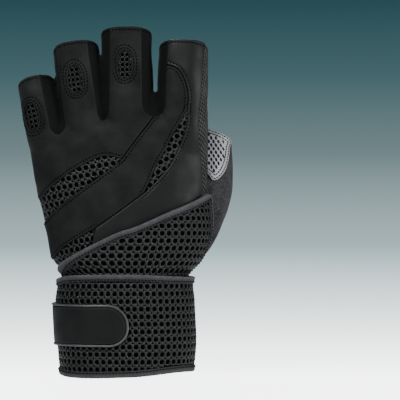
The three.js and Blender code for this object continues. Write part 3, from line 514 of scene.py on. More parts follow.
# %% Outlines of the panels
little, ring, middle, index = FINGERS
SEAM_SHARE = (CUFF_SEAM_BACK - 12) / BODY_HEIGHT
back_web = WEBS[-1][0] * BODY_HEIGHT
middle_web = web_turn(middle, middle["strip"][1], index, index["strip"][0], back_web)
web_low = len(middle_web) // 2
pad_seam = spline([middle_web[web_low]] + [drawn(p) for p in PAD_SEAM])
index_seam_start = on_finger(index, index["strip"][0], along_at(index, INDEX_SEAM_TOP[0][1] * BODY_HEIGHT))
index_seam_top = spline([index_seam_start] + [drawn(p) for p in INDEX_SEAM_TOP[1:]])
index_top = index["length"] * FINGER_LENGTH + PAST_DRAWING
outlines = {
    "back_panel": np.vstack([
        over_fingers([little, ring, middle], "strip", 0, BODY_HEIGHT, (WEBS[-1][0] + WEB_TURN) * BODY_HEIGHT),
        middle_web[1:web_low], pad_seam, seam(WINDOW_UPPER)[1:], drawn((-EDGE, 0.85)),
    ]),
    "back_mesh_window": np.vstack([seam(WINDOW_UPPER), seam(WINDOW_LOWER)[1:][::-1]]),
    "knuckle_pad": np.vstack([
        pad_seam, seam(WINDOW_LOWER)[1:], drawn((-EDGE, 0.53)), seam(LOW_UPPER)[::-1],
        seam(INDEX_SEAM_LOW)[::-1][1:], seam(ARC_LEFT)[::-1][1:], index_seam_top[::-1][1:],
        on_finger(index, index["strip"][0], along_at(index, (WEBS[-1][0] + WEB_TURN) * BODY_HEIGHT)),
        middle_web[web_low + 1:-1][::-1],
    ]),
    "arc_mesh_window": np.vstack([seam(ARC_LEFT), seam(INDEX_SEAM_ARC)[::-1][1:-1]]),
    "low_mesh_window": np.vstack([seam(LOW_UPPER), drawn((-EDGE, SEAM_SHARE)), drawn((-0.75, SEAM_SHARE))]),
    "index_panel": np.vstack([
        on_finger(index, index["strip"][0], index_top), on_finger(index, index["strip"][1], index_top),
        seam(THUMB_SIDE_SEAM), drawn((0.97, SEAM_SHARE)), drawn((-0.75, SEAM_SHARE)),
        seam(INDEX_SEAM_LOW)[::-1], seam(INDEX_SEAM_ARC)[::-1][1:], index_seam_top[::-1][1:],
    ]),
    "palm_grip": np.vstack([
        over_fingers(FINGERS, "grip", 1, BODY_HEIGHT, BODY_HEIGHT), seam(PALM_EDGE), seam(HEEL_ARC)[1:],
        drawn((-EDGE, 0.4)), drawn((-EDGE, 0.7)), drawn((-EDGE, 0.85)),
    ]),
    "heel_pad": np.vstack([seam(HEEL_ARC), seam(HEEL_INNER)[:-1]]),
}
BACK_PIECES = [name for name in outlines if name not in ("palm_grip", "heel_pad")]
VENT_LENGTH, VENT_WIDTH, VENT_DROP = 15.0, 6.8, 19.0


def vent_outline(finger):
    """An oval on a finger's back."""
    angles = np.linspace(0, 2 * math.pi, 40, endpoint=False)
    lean = math.radians(finger["lean"])
    centre = on_finger(finger, finger["vent"], finger["length"] * FINGER_LENGTH - VENT_DROP)
    x, z = VENT_WIDTH / 2 * squared(np.cos(angles)), VENT_LENGTH / 2 * squared(np.sin(angles))
    c, s = math.cos(lean), math.sin(lean)
    return centre + np.stack([x * c - z * s, x * s + z * c], 1)


vented = [finger for finger in FINGERS if "vent" in finger]
tongue_hem = thumb_centres[-2]
tongue_points = [(tongue_hem[0] + a * THUMB_WIDTH, tongue_hem[2] - d * THUMB_LENGTH) for a, d in TONGUE]
tongue_outline = spline(tongue_points[-2:] + tongue_points + tongue_points[:2])
tongue_outline = tongue_outline[2 * CURVE_STEPS:-2 * CURVE_STEPS]
print("outlines:", {name: len(points) for name, points in outlines.items()})


# %% [markdown]
# ## Which piece covers which place
# For every point of the skin and every outline there is one number: how far the point is outside the
# outline, negative inside it. Pieces are then cut where their number is zero. Numbers like these combine
# simply. The larger of two is where both shapes overlap, and the negative of one is all that it leaves free,
# which is how the gussets between the fingers come out: they are what no panel covers.

# %% Measure the skin against the outlines
def outside(points, outline):
    """Signed distance on the drawing from an outline, negative inside."""
    nearest = np.full(len(points), np.inf)
    inside = np.zeros(len(points), bool)
    x, z = points[:, 0], points[:, 1]
    for p, q in zip(outline, np.roll(outline, -1, axis=0)):
        d = q - p
        length = d @ d
        if length < 1e-9:
            continue
        w = points - p
        t = np.clip((w @ d) / length, 0, 1)
        nearest = np.minimum(nearest, ((w - t[:, None] * d) ** 2).sum(1))
        if p[1] != q[1]:
            inside ^= ((p[1] > z) != (q[1] > z)) & (x < d[0] * (z - p[1]) / d[1] + p[0])
    return np.sqrt(nearest) * np.where(inside, -1, 1)


def away_from(loft_parts, points):
    """Each point's distance from some lofts."""
    tree = BVHTree.FromPolygons(*[a.tolist() if hasattr(a, "tolist") else a for a in joined(loft_parts)])
    return np.array([tree.find_nearest(Vector(p))[3] for p in points])


skin_xz = skin_points[:, [0, 2]]
skin_y, skin_z = skin_points[:, 1], skin_points[:, 2]
on_thumb = away_from([thumb_loft], skin_points) - away_from(hand_lofts, skin_points)
sides = {name: outside(skin_xz, outline) for name, outline in outlines.items()}
vents = {finger["name"]: outside(skin_xz, vent_outline(finger)) for finger in vented}
for name in sides:
    sides[name] = np.maximum(sides[name], skin_y if name in BACK_PIECES else GAP - skin_y)
cuff_seam = CUFF_SEAM_BACK + (CUFF_SEAM_PALM - CUFF_SEAM_BACK) * eased(skin_y, -8, 8)
above_cuff = cuff_seam - skin_z
print("measured", len(sides) + len(vents), "outlines")


# %% Hems and the ground between the panels
def hem_side(points, stations, halves, drop, toward):
    """How far points lie past a stall's hem, which falls by a drop towards one side."""
    along, across, forward = axes_along(stations)
    hem, way = stations[-2], along[-2]
    side = {"palm": forward[-2], "thumb": across[-2]}[toward]
    offset = points - hem
    share = np.clip(offset @ side / (halves + MIDDLE), -1, 1)
    return offset @ way + drop / 2 * (1 + share)


past_hem = np.full(len(skin_points), -1e3)
finger_hems = {}
finger_of = np.argmin([
    np.abs(skin_points[:, 0] - np.interp(skin_z, [100, 200], [
        on_finger(f, 0, along_at(f, 100))[0], on_finger(f, 0, along_at(f, 200))[0]])) / f["width"]
    for f in FINGERS
], axis=0)
for i, finger in enumerate(FINGERS):
    reach = finger["length"] * FINGER_LENGTH
    centres = np.array([finger_line(finger, a)[0] for a in np.linspace(-0.2 * reach, reach, STATIONS)])
    centres = np.vstack([centres, centres[-1] + unit(centres[-1] - centres[-2]) * 3])
    finger_hems[finger["name"]] = centres, finger["depth"] * FINGER_DEPTH / 2
    mine = (finger_of == i) & (skin_z > BODY_HEIGHT + 2) & (on_thumb > 0)
    past_hem[mine] = hem_side(skin_points[mine], *finger_hems[finger["name"]], FINGER_HEM_DROP, "palm")
thumb_past = hem_side(skin_points, thumb_centres, thumb_halves[-1] * THUMB_WIDTH, THUMB_HEM_DROP, "thumb")
past_hem = np.where(on_thumb < 0, thumb_past, past_hem)
past_hem = np.maximum(past_hem, CUFF_HEM - skin_z)

back_covered = np.min([sides[name] for name in BACK_PIECES], axis=0)
palm_covered = np.minimum(sides["palm_grip"], sides["heel_pad"])
free = np.maximum(-back_covered, -palm_covered)
web_height = PALM_EDGE[0][1] * BODY_HEIGHT
thumb_root = np.maximum.reduce([-skin_points[:, 0], 0.1 * PALM_DEPTH - skin_y, skin_z - web_height])
hand_only = np.maximum(-on_thumb, above_cuff)


def between(left, right):
    """How far the skin lies outside the ground between two fingers' middle lines."""
    low = min(WEBS[FINGERS.index(left)][0], 1) * BODY_HEIGHT - PALM_DEPTH / 4
    high = BODY_HEIGHT + FINGER_LENGTH + 10
    corners = ((left, low), (left, high), (right, high), (right, low))
    return outside(skin_xz, np.array([on_finger(f, 0, along_at(f, height)) for f, height in corners]))


gaps = {f"{a['name']}_{b['name']}_gusset": between(a, b) for a, b in zip(FINGERS, FINGERS[1:])}
beyond_index = outside(skin_xz, np.array([
    on_finger(index, 0, along_at(index, 0)), on_finger(index, 0, index_top), (90.0, 300.0), (90.0, 0.0)]))
print("gussets:", list(gaps))

# %% [markdown]
# ## From one skin to many panels
# A panel is cut out of the skin along its line of zeroes. Cutting through triangles, instead of picking whole
# ones, gives seams that are as smooth as the drawing. The panel then gets a body: an outer and an inner
# sheet that meet in a rounded edge, like leather turned under at a seam. Where two panels meet, their rounded
# edges make the fine dark groove that a sewn seam has. Stretch cloth runs on a little under the leather.

# %% Cut a sheet
def crossings(faces, field):
    """Where a field's zeroes cross triangles: the crossed triangles' corners with the lone one first, whether
    the lone one is inside, the crossed edges' ends and the share between them, and each triangle's two."""
    inside = (field < 0)[faces]
    count = inside.sum(1)
    mixed = (count == 1) | (count == 2)
    corner, inside = faces[mixed], inside[mixed]
    lone_inside = inside.sum(1) == 1
    first = np.where(lone_inside[:, None], inside, ~inside).argmax(1)
    a, b, c = corner[np.arange(len(corner))[:, None], (first[:, None] + np.arange(3)) % 3].T
    low, high = (np.concatenate([pick(a, b), pick(a, c)]) for pick in (np.minimum, np.maximum))
    crossed, place = np.unique(low.astype(np.int64) * len(field) + high, return_inverse=True)
    p, q = crossed // len(field), crossed % len(field)
    share = (field[p] / (field[p] - field[q]))[:, None]
    return (a, b, c), lone_inside, (p, q, share), place.reshape(2, -1)


def blend(values, ends):
    """Values at the crossings, from those at the crossed edges' ends."""
    p, q, share = ends
    return values[p] * (1 - share) + values[q] * share


def cut(sheet, field, both=False):
    """The part of a sheet where a field is below zero, or both parts, with new edges along its zeroes."""
    faces, total = sheet["faces"], len(field)
    count = (field < 0)[faces].sum(1)
    (a, b, c), lone_inside, ends, (ab, ac) = crossings(faces, field)
    ab, ac = ab + total, ac + total
    tips = np.stack([a, ab, ac], 1)
    stumps = np.concatenate([np.stack([ab, b, c], 1), np.stack([ab, c, ac], 1)])
    if both:
        kept = [faces[count == 3], faces[count == 0], tips, stumps]
    else:
        kept = [faces[count == 3], tips[lone_inside], stumps[~np.tile(lone_inside, 2)]]
    used, faces = np.unique(np.concatenate(kept), return_inverse=True)
    made = {"faces": faces.reshape(-1, 3)}
    for name, values in sheet.items():
        if name != "faces":
            values = values.reshape(total, -1)
            values = np.concatenate([values, blend(values, ends)])[used]
            made[name] = values[:, 0] if values.shape[1] == 1 else values
    return made


def distance_from(points, samples):
    tree = KDTree(len(samples))
    for i, sample in enumerate(samples):
        tree.insert(sample, i)
    tree.balance()
    return np.array([tree.find(p)[2] for p in points])


def rim_samples(sheet):
    ends = sheet["points"][edges_of(sheet["faces"], rim=True)]
    return np.concatenate([ends[:, 0], ends.mean(1)])


EDGE_LOOPS = (0.15, 0.45, 0.9)
GROOVE_HALF, GROOVE_DEPTH, THREAD_PROUD = 0.5, 0.28, 0.12
FAR = 9.0  # stands for the distance from a seam or a row where a piece has none


def region(field, extras=None):
    """The part of the skin where a field is below zero, with each point's room: its distance from the rim."""
    sheet = {"points": skin_points, "normals": skin_normals, "faces": skin_faces, **(extras or {})}
    near = (field < 3 * VOXEL)[skin_faces].any(1)
    sheet["faces"] = skin_faces[near]
    sheet = cut(sheet, field)
    sheet["room"] = distance_from(sheet["points"], rim_samples(sheet))
    for at in EDGE_LOOPS:
        sheet = cut(sheet, at - sheet["room"], both=True)
    sheet["normals"] = unit(sheet["normals"])
    return sheet


print("every panel gets loops at", EDGE_LOOPS, "mm from its rim")


# %% Give a sheet its body
def raised(sheet, height):
    return sheet["points"] + sheet["normals"] * np.asarray(height).reshape(-1, 1)


def rounded(room, radius):
    return np.sqrt(1 - (1 - np.clip(room / radius, 0, 1)) ** 2)


def outer_height(sheet, outer, inner, radius, crown=0.0, reach=8.0):
    middle = (outer + inner) / 2
    height = middle + (outer - middle) * rounded(sheet["room"], radius)
    return height + crown * (1 - np.exp(-sheet["room"] / reach))


def pillow(sheet, outer, inner, radius, crown=0.0, reach=8.0):
    """A closed soft panel: points, triangles, and each point's room and distance from a sewn row."""
    middle = (outer + inner) / 2
    sewn = sheet.get("sewn", np.full(len(sheet["points"]), FAR))
    sunk = GROOVE_DEPTH * np.exp(-(sewn / (0.7 * GROOVE_HALF)) ** 2)
    top = raised(sheet, outer_height(sheet, outer, inner, radius, crown, reach) - sunk)
    bottom = raised(sheet, middle + (inner - middle) * rounded(sheet["room"], radius))
    count = len(top)
    on_rim = np.zeros(count, bool)
    on_rim[edges_of(sheet["faces"], rim=True).ravel()] = True
    below = np.arange(count)
    below[~on_rim] = count + np.arange((~on_rim).sum())
    faces = np.concatenate([sheet["faces"], below[sheet["faces"]][:, ::-1]])
    values = [np.concatenate([value, value[~on_rim]]) for value in (sheet["room"], sewn)]
    return np.concatenate([top, bottom[~on_rim]]), faces, *values


# %% Make a piece
made_pieces = []


def set_values(mesh, key, values):
    """Gives each point of a mesh a number or a vector."""
    values = np.asarray(values, np.float32)
    kind, part = ("FLOAT_VECTOR", "vector") if values.ndim == 2 else ("FLOAT", "value")
    mesh.attributes.new(key, kind, "POINT").data.foreach_set(part, values.ravel())


def mesh_from(name, points, faces, values=None):
    mesh = bpy.data.meshes.new(name)
    mesh.vertices.add(len(points))
    mesh.vertices.foreach_set("co", (np.asarray(points) * MM).astype(np.float32).ravel())
    mesh.loops.add(faces.size)
    mesh.loops.foreach_set("vertex_index", faces.astype(np.int32).ravel())
    mesh.polygons.add(len(faces))
    corners = faces.shape[1]
    mesh.polygons.foreach_set("loop_start", np.arange(0, faces.size, corners, dtype=np.int32))
    mesh.polygons.foreach_set("loop_total", np.full(len(faces), corners, np.int32))
    mesh.polygons.foreach_set("use_smooth", np.full(len(faces), True))
    mesh.update(calc_edges=True)
    for key, value in (values or {}).items():
        if key == "flat":
            flat = (np.asarray(value, np.float32) * MM).astype(np.float32)
            mesh.uv_layers.new(name="flat").data.foreach_set("uv", flat[faces.ravel()].ravel())
        else:
            set_values(mesh, key, value)
    return mesh


def add_piece(name, mesh, finish, nodes=()):
    """A finished piece on the glove's one body, in the place of its CAD nodes."""
    for key in ("room", "sewn"):
        if key not in mesh.attributes:
            set_values(mesh, key, np.full(len(mesh.vertices), FAR))
    if not mesh.materials:
        mesh.materials.append(finishes[finish])
    piece = placed(name, mesh)
    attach(piece, "root")
    if nodes:
        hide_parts(*nodes)
    mesh.calc_loop_triangles()
    made_pieces.append((name, len(mesh.loop_triangles)))


def add_pillow(name, sheet, body, finish, nodes):
    """A sheet's soft body as a finished piece."""
    points, faces, room, sewn = pillow(sheet, *body)
    add_piece(name, mesh_from(name, points, faces, {"room": room, "sewn": sewn}), finish, nodes)


print("ready to make pieces")

# %% [markdown]
# ## Finishes
# Black leather, stretch cloth, knitted air mesh, woven tape and moulded rubber are all dark and matt, so what
# tells them apart is their grain and how they catch light at a low angle. Three effects are
# shared as node groups: a leather's grain, a woven or knitted ground, and the change along a panel's edge:
# a lighter band just inside it, which is wear from handling and on the bound tape a painted highlight, and
# painted shade in the seam's groove and along the sewn rows. Patterns read Object coordinates, so nothing
# slides, and their sizes are in metres.

# %% Small helpers for nodes
def feed(made, inputs):
    """Sets a node's inputs to values, or wires them to sockets."""
    for key, value in inputs.items():
        if isinstance(value, bpy.types.NodeSocket):
            made.id_data.links.new(value, made.inputs[key])
        else:
            made.inputs[key].default_value = value


def node(tree, kind, inputs=None, **settings):
    """A node with its settings and its inputs."""
    made = tree.nodes.new(kind)
    for key, value in settings.items():
        setattr(made, key, value)
    feed(made, inputs or {})
    return made


def out(tree, kind, inputs=None, **settings):
    """The first output of a new node."""
    return node(tree, kind, inputs, **settings).outputs[0]


def maths(tree, operation, *values):
    return out(tree, "ShaderNodeMath", dict(enumerate(values)), operation=operation)


def vector_maths(tree, operation, first, second):
    """Two vectors combined, or a vector scaled by a number."""
    second_input = "Scale" if operation == "SCALE" else 1
    return out(tree, "ShaderNodeVectorMath", {0: first, second_input: second}, operation=operation)


def noise_at(tree, place, scale, detail):
    made = node(tree, "ShaderNodeTexNoise", {"Vector": place, "Scale": scale, "Detail": detail})
    return made.outputs["Fac"]


def falling(tree, value, start, end, top=1.0):
    """Falls smoothly from a top value at the start to 0 at the end."""
    return out(tree, "ShaderNodeMapRange", {
        "Value": value, "From Min": start, "From Max": end, "To Min": top, "To Max": 0.0},
        interpolation_type="SMOOTHSTEP")


def mixed(tree, share, first, second):
    """One colour going over into another."""
    mix = node(tree, "ShaderNodeMix", {"Factor": share, 6: first, 7: second}, data_type="RGBA")
    return mix.outputs[2]


def new_tree(name, kind, inputs, outputs):
    """A node tree with named sockets, each given as a name, a socket type and a value."""
    tree = bpy.data.node_groups.new(name, kind)
    for label, socket_type, value in inputs:
        made = tree.interface.new_socket(name=label, in_out="INPUT", socket_type=socket_type)
        if value is not None:
            made.default_value = value
    for label, socket_type in outputs:
        tree.interface.new_socket(name=label, in_out="OUTPUT", socket_type=socket_type)
    return tree, tree.nodes.new("NodeGroupInput").outputs, tree.nodes.new("NodeGroupOutput").inputs


FLOAT, VECTOR = "NodeSocketFloat", "NodeSocketVector"

# %% Leather grain group
grain_group, inputs, outputs = new_tree(
    "leather_grain", "ShaderNodeTree",
    [("Vector", VECTOR, None), ("Pebble size", FLOAT, 0.0007), ("Crease size", FLOAT, 0.008)],
    [("Height", FLOAT), ("Tone", FLOAT)],
)
tree = grain_group
pebble_scale = maths(tree, "DIVIDE", 1.0, inputs["Pebble size"])
crease_scale = maths(tree, "DIVIDE", 1.0, inputs["Crease size"])
pebbles = node(tree, "ShaderNodeTexVoronoi", {
    "Vector": inputs["Vector"], "Scale": pebble_scale}, feature="SMOOTH_F1")
creases = noise_at(tree, inputs["Vector"], crease_scale, 5.0)
height = maths(tree, "MULTIPLY_ADD", creases, 1.2, pebbles.outputs["Distance"])
tree.links.new(height, outputs["Height"])
tone = maths(tree, "MULTIPLY_ADD", creases, 0.4, noise_at(tree, inputs["Vector"], 70.0, 3.0))
tone = out(tree, "ShaderNodeClamp", {"Value": maths(tree, "MULTIPLY_ADD", tone, 1.9, -0.83)})
tree.links.new(tone, outputs["Tone"])

# %% Woven ground group
weave_group, inputs, outputs = new_tree(
    "woven_ground", "ShaderNodeTree",
    [("Vector", VECTOR, None), ("Thread size", FLOAT, 0.0008), ("Slant", FLOAT, 0.0), ("Fuzz", FLOAT, 0.3),
     ("Contrast", FLOAT, 1.0)],
    [("Height", FLOAT), ("Tone", FLOAT)],
)
tree = weave_group
split = node(tree, "ShaderNodeSeparateXYZ", {"Vector": inputs["Vector"]}).outputs
turns = maths(tree, "DIVIDE", 2 * math.pi, inputs["Thread size"])
across = maths(tree, "ADD", split["X"], split["Y"])
slanted = maths(tree, "MULTIPLY_ADD", split["Z"], inputs["Slant"], across)
warp = maths(tree, "SINE", maths(tree, "MULTIPLY", slanted, turns))
slanted = maths(tree, "MULTIPLY_ADD", across, maths(tree, "MULTIPLY", inputs["Slant"], -1.0), split["Z"])
weft = maths(tree, "SINE", maths(tree, "MULTIPLY", slanted, turns))
fuzz = noise_at(tree, inputs["Vector"], maths(tree, "DIVIDE", 1.3, inputs["Thread size"]), 4.0)
woven = maths(tree, "MULTIPLY_ADD", maths(tree, "MULTIPLY", warp, weft), 0.5, 0.5)
height = out(tree, "ShaderNodeMix", {"Factor": inputs["Fuzz"], "A": woven, "B": fuzz})
tree.links.new(height, outputs["Height"])
patches = maths(tree, "MULTIPLY", noise_at(tree, inputs["Vector"], 90.0, 3.0), 0.4)
tone = maths(tree, "MULTIPLY_ADD", height, 0.6, patches)
tone = maths(tree, "MULTIPLY_ADD", maths(tree, "SUBTRACT", tone, 0.5), inputs["Contrast"], 0.5)
tone = out(tree, "ShaderNodeClamp", {"Value": tone})
tree.links.new(tone, outputs["Tone"])

# %% Edge group
edge_group, inputs, outputs = new_tree(
    "panel_edge", "ShaderNodeTree",
    [("Room", FLOAT, 5.0), ("Sewn", FLOAT, 9.0), ("Vector", VECTOR, None), ("Groove shade width", FLOAT, 0.75),
     ("Row shade width", FLOAT, 0.4), ("Row shade strength", FLOAT, 0.35), ("Wear and highlight width", FLOAT, 1.5)],
    [("Seam", FLOAT), ("Wear and highlight", FLOAT)],
)
tree = edge_group
# painted shade: a dark band along the panel's rim, in the seam's groove, and along each sewn row
groove_shade = falling(tree, inputs["Room"], 0.0, inputs["Groove shade width"])
row_shade = falling(tree, inputs["Sewn"], 0.0, inputs["Row shade width"], inputs["Row shade strength"])
groove_shade = maths(tree, "MAXIMUM", groove_shade, row_shade)
# a lighter band just inside the rim, in random spots: wear from handling, and on the bound tape a painted
# highlight
wear_and_highlight = falling(tree, inputs["Room"], inputs["Groove shade width"], inputs["Wear and highlight width"])
spots = noise_at(tree, inputs["Vector"], 400.0, 3.0)
inner = maths(tree, "SUBTRACT", 1.0, groove_shade)
tree.links.new(groove_shade, outputs["Seam"])
tree.links.new(maths(tree, "MULTIPLY", maths(tree, "MULTIPLY", wear_and_highlight, inner), spots), outputs["Wear and highlight"])
print("groups:", [group.name for group in (grain_group, weave_group, edge_group)])


# %% One recipe for every finish
# rows holds the width and the strength of the painted shade along sewn rows
def surface(name, tones, group, settings, relief, roughness, sheen=0.0, specular=0.5, rows=(0.4, 0.35)):
    """A material from a ground group, with its tones, the height of its relief in metres and its gloss."""
    material = bpy.data.materials.new(name)
    material.use_nodes = True
    tree = material.node_tree
    where = node(tree, "ShaderNodeTexCoord").outputs["Object"]
    ground = node(tree, "ShaderNodeGroup", {"Vector": where, **settings}, node_tree=group)
    room, sewn = (
        node(tree, "ShaderNodeAttribute", attribute_name=key).outputs["Fac"] for key in ("room", "sewn"))
    edge = node(tree, "ShaderNodeGroup", {
        "Vector": where, "Room": room, "Sewn": sewn, "Row shade width": rows[0], "Row shade strength": rows[1]},
        node_tree=edge_group)
    # the third tone is the lighter band near the rim: wear, and on the bound tape a painted highlight
    dark, light, wear_and_highlight = ((*tone, 1) for tone in tones)
    # painted shade: the seam's groove and the sewn rows darken towards a quarter of the dark tone
    groove_shade_tone = (*(0.25 * np.array(dark[:3])), 1)
    colour = mixed(tree, ground.outputs["Tone"], dark, light)
    colour = mixed(tree, edge.outputs["Wear and highlight"], colour, wear_and_highlight)
    colour = mixed(tree, maths(tree, "MULTIPLY", edge.outputs["Seam"], 0.9), colour, groove_shade_tone)
    rough = out(tree, "ShaderNodeMapRange", {
        "Value": ground.outputs["Tone"], "From Min": 0.2, "From Max": 0.8, "To Min": roughness + 0.06,
        "To Max": roughness - 0.06})
    bump = node(tree, "ShaderNodeBump", {"Height": ground.outputs["Height"], "Distance": relief})
    feed(tree.nodes["Principled BSDF"], {
        "Base Color": colour, "Roughness": rough, "Normal": bump.outputs["Normal"], "Sheen Weight": sheen,
        "Sheen Roughness": 0.45, "Specular IOR Level": specular})
    return material


def greys(*values, tint=(1.0, 1.0, 1.0)):
    return [tuple(value * t for t in tint) for value in values]


COOL = (0.97, 0.98, 1.05)
WARM = (1.0, 0.97, 1.02)
finishes = {
    "leather": surface("black_leather", greys(0.0015, 0.0095, 0.011), grain_group,
        {"Pebble size": 0.0008}, 0.00014, 0.72, sheen=0.01, specular=0.16),
    "smooth_leather": surface("smooth_black_leather", greys(0.0008, 0.0045, 0.01), grain_group,
        {"Pebble size": 0.0005}, 0.00006, 0.53, specular=0.24),
    "fabric": surface("stretch_cloth", greys(0.0012, 0.006, 0.008), weave_group,
        {"Thread size": 0.0011, "Fuzz": 0.55, "Contrast": 1.5}, 0.00014, 0.85, sheen=0.02, specular=0.08),
    "fleece": surface("thumb_fleece", greys(0.004, 0.06, 0.045, tint=WARM), weave_group,
        {"Thread size": 0.0017, "Fuzz": 0.7, "Contrast": 3.0}, 0.0005, 0.92, sheen=0.04, specular=0.1),
    "knit": surface("side_knit", greys(0.0008, 0.05, 0.03), weave_group,
        {"Thread size": 0.0032, "Slant": 0.4, "Fuzz": 0.1, "Contrast": 4.0}, 0.0006, 0.85, sheen=0.02,
        specular=0.15),
    "strands": surface("mesh_strands", greys(0.0018, 0.0075, 0.012), weave_group,
        {"Thread size": 0.0005, "Fuzz": 0.4}, 0.0001, 0.4, specular=0.36),
    "vent_strands": surface("vent_strands", greys(0.0012, 0.006, 0.008), weave_group,
        {"Thread size": 0.0005, "Fuzz": 0.4}, 0.0001, 0.45, specular=0.3),
    "backing": surface("mesh_backing", greys(0.0005, 0.0015, 0.002), weave_group,
        {"Thread size": 0.0008, "Fuzz": 0.5}, 0.0002, 0.95, specular=0.03),
    # its third tone, far lighter, is a painted highlight on the tape's outer fold, and its rows paint shade
    # along the sewn row
    "binding": surface("bound_edge", greys(0.01, 0.032, 0.1, tint=COOL), weave_group,
        {"Thread size": 0.0011, "Fuzz": 0.35, "Contrast": 1.6}, 0.0003, 0.7, sheen=0.02, specular=0.25,
        rows=(0.55, 0.8)),
    "grip": surface("silver_grip", greys(0.2, 0.42, tint=WARM) + greys(0.46), weave_group,
        {"Thread size": 0.0007, "Fuzz": 0.3}, 0.0001, 0.42, sheen=0.05, specular=0.5),
    "tongue": surface("tongue_grip", greys(0.24, 0.5, tint=WARM) + greys(0.5), weave_group,
        {"Thread size": 0.0012, "Fuzz": 0.3, "Contrast": 1.5}, 0.0001, 0.42, sheen=0.05, rows=(0.6, 0.9)),
    "heel": surface("silver_suede", greys(0.11, 0.22, tint=WARM) + greys(0.26), grain_group,
        {"Pebble size": 0.0006}, 0.0001, 0.62, sheen=0.08, specular=0.3),
    "dots": surface("grip_dots", greys(0.002, 0.006, 0.01), grain_group,
        {"Pebble size": 0.0009}, 0.00004, 0.42, specular=0.3),
    "rubber": surface("tab_rubber", greys(0.0018, 0.006, 0.012), grain_group,
        {"Pebble size": 0.0006}, 0.00008, 0.55, specular=0.18),
    "rim": surface("tab_rim", greys(0.03, 0.07, tint=COOL) + greys(0.08), grain_group,
        {"Pebble size": 0.0008}, 0.00004, 0.45, specular=0.4),
    "hook": surface("hook_face", greys(0.002, 0.008, 0.01), weave_group,
        {"Thread size": 0.0013, "Fuzz": 0.1}, 0.0005, 0.95, specular=0.1),
    "thread": surface("sewing_thread", greys(0.0004, 0.0015, 0.002), weave_group,
        {"Thread size": 0.0003, "Fuzz": 0.2}, 0.00004, 0.8, specular=0.05),
}
print("finishes:", len(finishes))

# %% [markdown]
# ## The panels
# Each panel replaces its CAD node. Leather stands proud of the stretch cloth beside it, and the two padded
# panels crown towards their middles, as foam does under a stretched cover. Their puff is worked out from
# each point's distance to the seam, because foam this thin shows no folds that a simulation would add.

# %% Panel heights
TUCK = 0.6  # mm of stretch cloth under the leather's edge
SEAM_GAP = 0.01
INNER = -1.05  # the leather's inner face, from the middle of the wall
PANELS = {
    # name: field, finish, slot, outer, inner, edge radius, crown, reach (mm)
    "back_panel": (np.maximum(sides["back_panel"], -np.min(list(vents.values()), axis=0)),
                   "leather", "leather", 1.05, INNER, 0.8, 0.25, 5.0),
    "knuckle_pad": (sides["knuckle_pad"], "leather", "leather", 1.15, INNER, 1.0, 1.6, 9.5),
    "index_panel": (sides["index_panel"], "smooth_leather", "smooth_leather", 1.05, INNER, 0.8, 0.25, 5.0),
    "palm_grip": (sides["palm_grip"], "grip", "grip", 1.0, INNER, 0.8, 0.2, 5.0),
    "heel_pad": (sides["heel_pad"], "heel", "grip", 1.15, INNER, 1.0, 1.0, 7.0),
    **{name: (sides[name], "backing", "mesh", -0.3, INNER, 0.4, 0.0, 5.0)
       for name in ("back_mesh_window", "arc_mesh_window", "low_mesh_window")},
    "little_side_gusset": (np.maximum.reduce([free - TUCK, skin_points[:, 0] + PALM_WIDTH / 4,
                                              -gaps["little_ring_gusset"], -gaps["ring_middle_gusset"]]),
                           "fabric", "fabric", 0.3, -1.0, 0.6, 0.1, 4.0),
    "index_side_gusset": (np.maximum.reduce([free - TUCK, beyond_index, -thumb_root]), "knit", "knit",
                          0.35, -1.0, 0.6, 0.15, 4.0),
    **{name: (np.maximum(free - TUCK, field), "fabric", "fabric", 0.3, -1.0, 0.6, 0.1, 4.0)
       for name, field in gaps.items()},
}
for name, (field, *rest) in PANELS.items():
    PANELS[name] = (np.maximum.reduce([field + SEAM_GAP, hand_only, past_hem]), *rest)
stall_on_hand = np.maximum.reduce([free + SEAM_GAP, thumb_root + 0.1, above_cuff])
PANELS["thumb_stall"] = (np.maximum(np.minimum(on_thumb, stall_on_hand), past_hem), "fleece", "fabric",
                         0.35, -1.0, 0.6, 0.1, 4.0)
PANELS["cuff"] = (np.maximum(0.15 - above_cuff, past_hem), "fabric", "fabric", 0.6, -1.0, 0.7, 0.1, 4.0)
print("panels:", list(PANELS))

# %% [markdown]
# ## Sewn rows
# A sewing machine leaves a row of stitches at an even distance from a seam or a hem, and the pull of the
# thread sinks a shallow groove there. Each row is named by the part of a panel's rim that it follows and by
# its distance from it. The groove is made here, with the panel, and the stitches are laid in it later.

# %% Rows of stitches
ROW_REACH = 1.3  # a rim sample this near a line, in mm, lies on it
HEM_REACH = 17.0  # and this near the middle of a hem it can be that hem's
ROW_CLEAR = 0.9  # a row keeps this share of its distance from every other part of the rim


def along_line(line):
    """Picks the rim samples near a line of the drawing."""
    def test(rim):
        points = rim[:, [0, 2]]
        near = np.zeros(len(points), bool)
        for p, q in zip(line, line[1:]):
            d = q - p
            t = np.clip(((points - p) @ d) / max(d @ d, 1e-9), 0, 1)
            near |= ((points - p - t[:, None] * d) ** 2).sum(1) < ROW_REACH**2
        return near
    return test


def along_hems(names):
    """Picks the rim samples on some fingers' hems."""
    def test(rim):
        near = np.zeros(len(rim), bool)
        for name in names:
            centres, half_depth = finger_hems[name]
            beyond = hem_side(rim, centres, half_depth, FINGER_HEM_DROP, "palm")
            near |= (np.abs(beyond) < 0.8) & (np.linalg.norm(rim - centres[-2], axis=1) < HEM_REACH)
        return near
    return test


def seam_rows(*lines):
    return [(along_line(line), SEAM_ROW) for line in lines]


def hem_rows(*names):
    return [(along_hems(names), HEM_ROW)]


